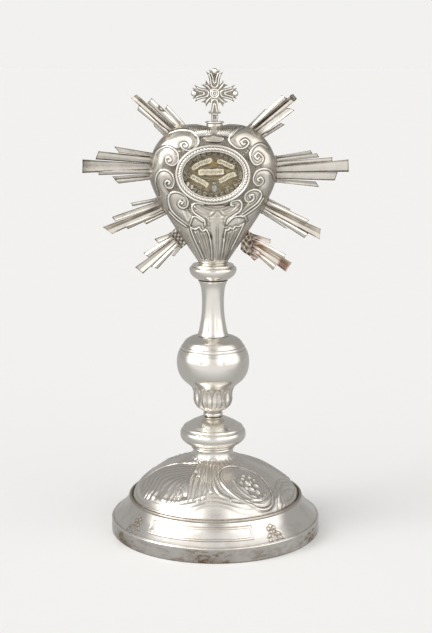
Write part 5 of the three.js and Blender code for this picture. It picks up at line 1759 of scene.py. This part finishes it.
# ------------------------------------------------------------------ studio
def make_floor():
    """A plain pale floor that runs out of sight. It takes a soft shadow, and in reflections it glows with
    painted light, brighter towards the front, and painted shade dims it near and behind the object."""
    half = 14.0
    mesh = bpy.data.meshes.new("studio_floor")
    corners = [(-half, -half, 0), (half, -half, 0), (half, half, 0), (-half, half, 0)]
    mesh.from_pydata(corners, [], [(0, 1, 2, 3)])
    floor = bpy.data.objects.new("studio_floor", mesh)
    bpy.context.scene.collection.objects.link(floor)
    material, tree, shader = new_material("pale_floor")
    shader.inputs["Base Color"].default_value = FLOOR_COLOUR
    shader.inputs["Roughness"].default_value = 1.0
    shader.inputs["Specular IOR Level"].default_value = 0.0
    shader.inputs["Emission Color"].default_value = (1.0, 0.99, 0.975, 1)
    shader.inputs["Emission Strength"].default_value = FLOOR_GLOW
    place = add_node(tree, "ShaderNodeSeparateXYZ")
    link(tree, add_node(tree, "ShaderNodeTexCoord").outputs["Object"], place.inputs[0])
    # Painted light and shade in reflections: the glow is strongest in front and weakest near and behind the
    # object.
    ahead = add_node(tree, "ShaderNodeMapRange", interpolation_type="SMOOTHSTEP")
    link(tree, place.outputs["Y"], ahead.inputs["Value"])
    for name, value in (("From Min", 0.02), ("From Max", -0.42), ("To Min", 0.48), ("To Max", 0.92)):
        ahead.inputs[name].default_value = value
    painted_floor_glow = add_node(tree, "ShaderNodeEmission")
    painted_floor_glow.inputs["Color"].default_value = (1.0, 0.99, 0.975, 1)
    link(tree, ahead.outputs["Result"], painted_floor_glow.inputs["Strength"])
    mix = add_node(tree, "ShaderNodeMixShader")
    link(tree, add_node(tree, "ShaderNodeLightPath").outputs["Is Camera Ray"], mix.inputs["Fac"])
    link(tree, painted_floor_glow.outputs[0], mix.inputs[1])
    link(tree, shader.outputs[0], mix.inputs[2])
    link(tree, mix.outputs[0], tree.nodes["Material Output"].inputs["Surface"])
    mesh.materials.append(material)


FLOOR_COLOUR = (0.747, 0.75, 0.75, 1)
FLOOR_GLOW = 0.053
BACKDROP = (0.887, 0.878, 0.862)
# Each light: degrees right of the camera, degrees up, spread in degrees, edge, brightness. A brightness
# below nought is a dark card.
ROOM_GREY = 0.43
ROOM_LIGHTS = [
    (-55, 18, 37, 11, 1.05), (55, 18, 37, 11, 0.95), (-62, 50, 26, 14, 0.5), (62, 50, 26, 14, 0.5),
    (0, 2, 26, 14, 0.45), (0, 68, 22, 16, 0.2), (-86, 77, 6, 2, -0.5), (109, 62, 7, 2, -0.5),
    (-36, 8, 4, 3, -0.8), (34, 6, 4, 3, -0.8),
]


def room_light(tree, direction, degrees, up, spread_degrees, edge, brightness):
    """A round light with a soft edge at a place in the room."""
    a, e = math.radians(degrees), math.radians(up)
    aim = add_node(tree, "ShaderNodeVectorMath", operation="DOT_PRODUCT")
    link(tree, direction, aim.inputs[0])
    aim.inputs[1].default_value = (math.sin(a) * math.cos(e), -math.cos(a) * math.cos(e), math.sin(e))
    level = spread(tree, aim.outputs["Value"], math.cos(math.radians(spread_degrees + edge)),
                   math.cos(math.radians(max(spread_degrees - edge, 1))))
    return maths(tree, "MULTIPLY", level, brightness)


def make_world():
    """Pale where the camera looks at it, and a grey studio with round lights for light and reflections."""
    world = bpy.data.worlds.new("studio_room")
    bpy.context.scene.world = world
    world.use_nodes = True
    tree = world.node_tree
    tree.nodes.clear()
    direction = add_node(tree, "ShaderNodeTexCoord").outputs["Generated"]
    total = ROOM_GREY
    for light in ROOM_LIGHTS:
        total = maths(tree, "ADD", room_light(tree, direction, *light), total)
    room = add_node(tree, "ShaderNodeBackground")
    room.inputs["Color"].default_value = (1.0, 0.985, 0.965, 1)
    link(tree, total, room.inputs["Strength"])
    backdrop = add_node(tree, "ShaderNodeBackground")
    backdrop.inputs["Color"].default_value = (*BACKDROP, 1)
    seen = add_node(tree, "ShaderNodeLightPath").outputs["Is Camera Ray"]
    mix = add_node(tree, "ShaderNodeMixShader")
    link(tree, seen, mix.inputs["Fac"])
    link(tree, room.outputs[0], mix.inputs[1])
    link(tree, backdrop.outputs[0], mix.inputs[2])
    link(tree, mix.outputs[0], add_node(tree, "ShaderNodeOutputWorld").inputs["Surface"])


def broad_light(name, degrees, up, spread_degrees, strength, colour=(1.0, 0.99, 0.97)):
    """A distant round light, degrees to the right of the camera and degrees up."""
    light = bpy.data.lights.new(name, "SUN")
    light.angle = math.radians(spread_degrees)
    light.energy = strength
    light.color = colour
    lamp = bpy.data.objects.new(name, light)
    a, e = math.radians(degrees), math.radians(up)
    toward = Vector((math.sin(a) * math.cos(e), -math.cos(a) * math.cos(e), math.sin(e)))
    lamp.rotation_euler = toward.to_track_quat("Z", "Y").to_euler()
    bpy.context.scene.collection.objects.link(lamp)


def make_studio():
    make_floor()
    make_world()
    broad_light("key_light", -68, 36, 34, 1.1)
    scene = bpy.context.scene
    scene.view_settings.view_transform = "Standard"
    scene.view_settings.look = "None"


def make_camera():
    pitch = math.radians(11.42)
    data = bpy.data.cameras.new("view")
    data.sensor_fit = "VERTICAL"
    data.sensor_height = 24
    data.lens = 24 * 1405 / 633
    camera = bpy.data.objects.new("view", data)
    camera.location = (0.0004, -1.0, 0.362)
    camera.rotation_euler = (math.pi / 2 - pitch, 0, 0)
    bpy.context.scene.collection.objects.link(camera)
    bpy.context.scene.camera = camera


# ------------------------------------------------------------------ everything
make_camera()
make_studio()
make_foot_dome()
make_foot_rim()
make_lower_knop()
make_spool()
make_baluster()
make_stem_neck()
make_upper_knop()
make_heart_front()
make_heart_back()
make_window_ring()
dress_glass()
make_relic_ground()
make_coils()
make_labels()
make_ribbons()
make_small_relics()
make_cross_socket()
make_cross()
for ray_name, ray_blades in RAYS.items():
    make_rays(ray_name, ray_blades)
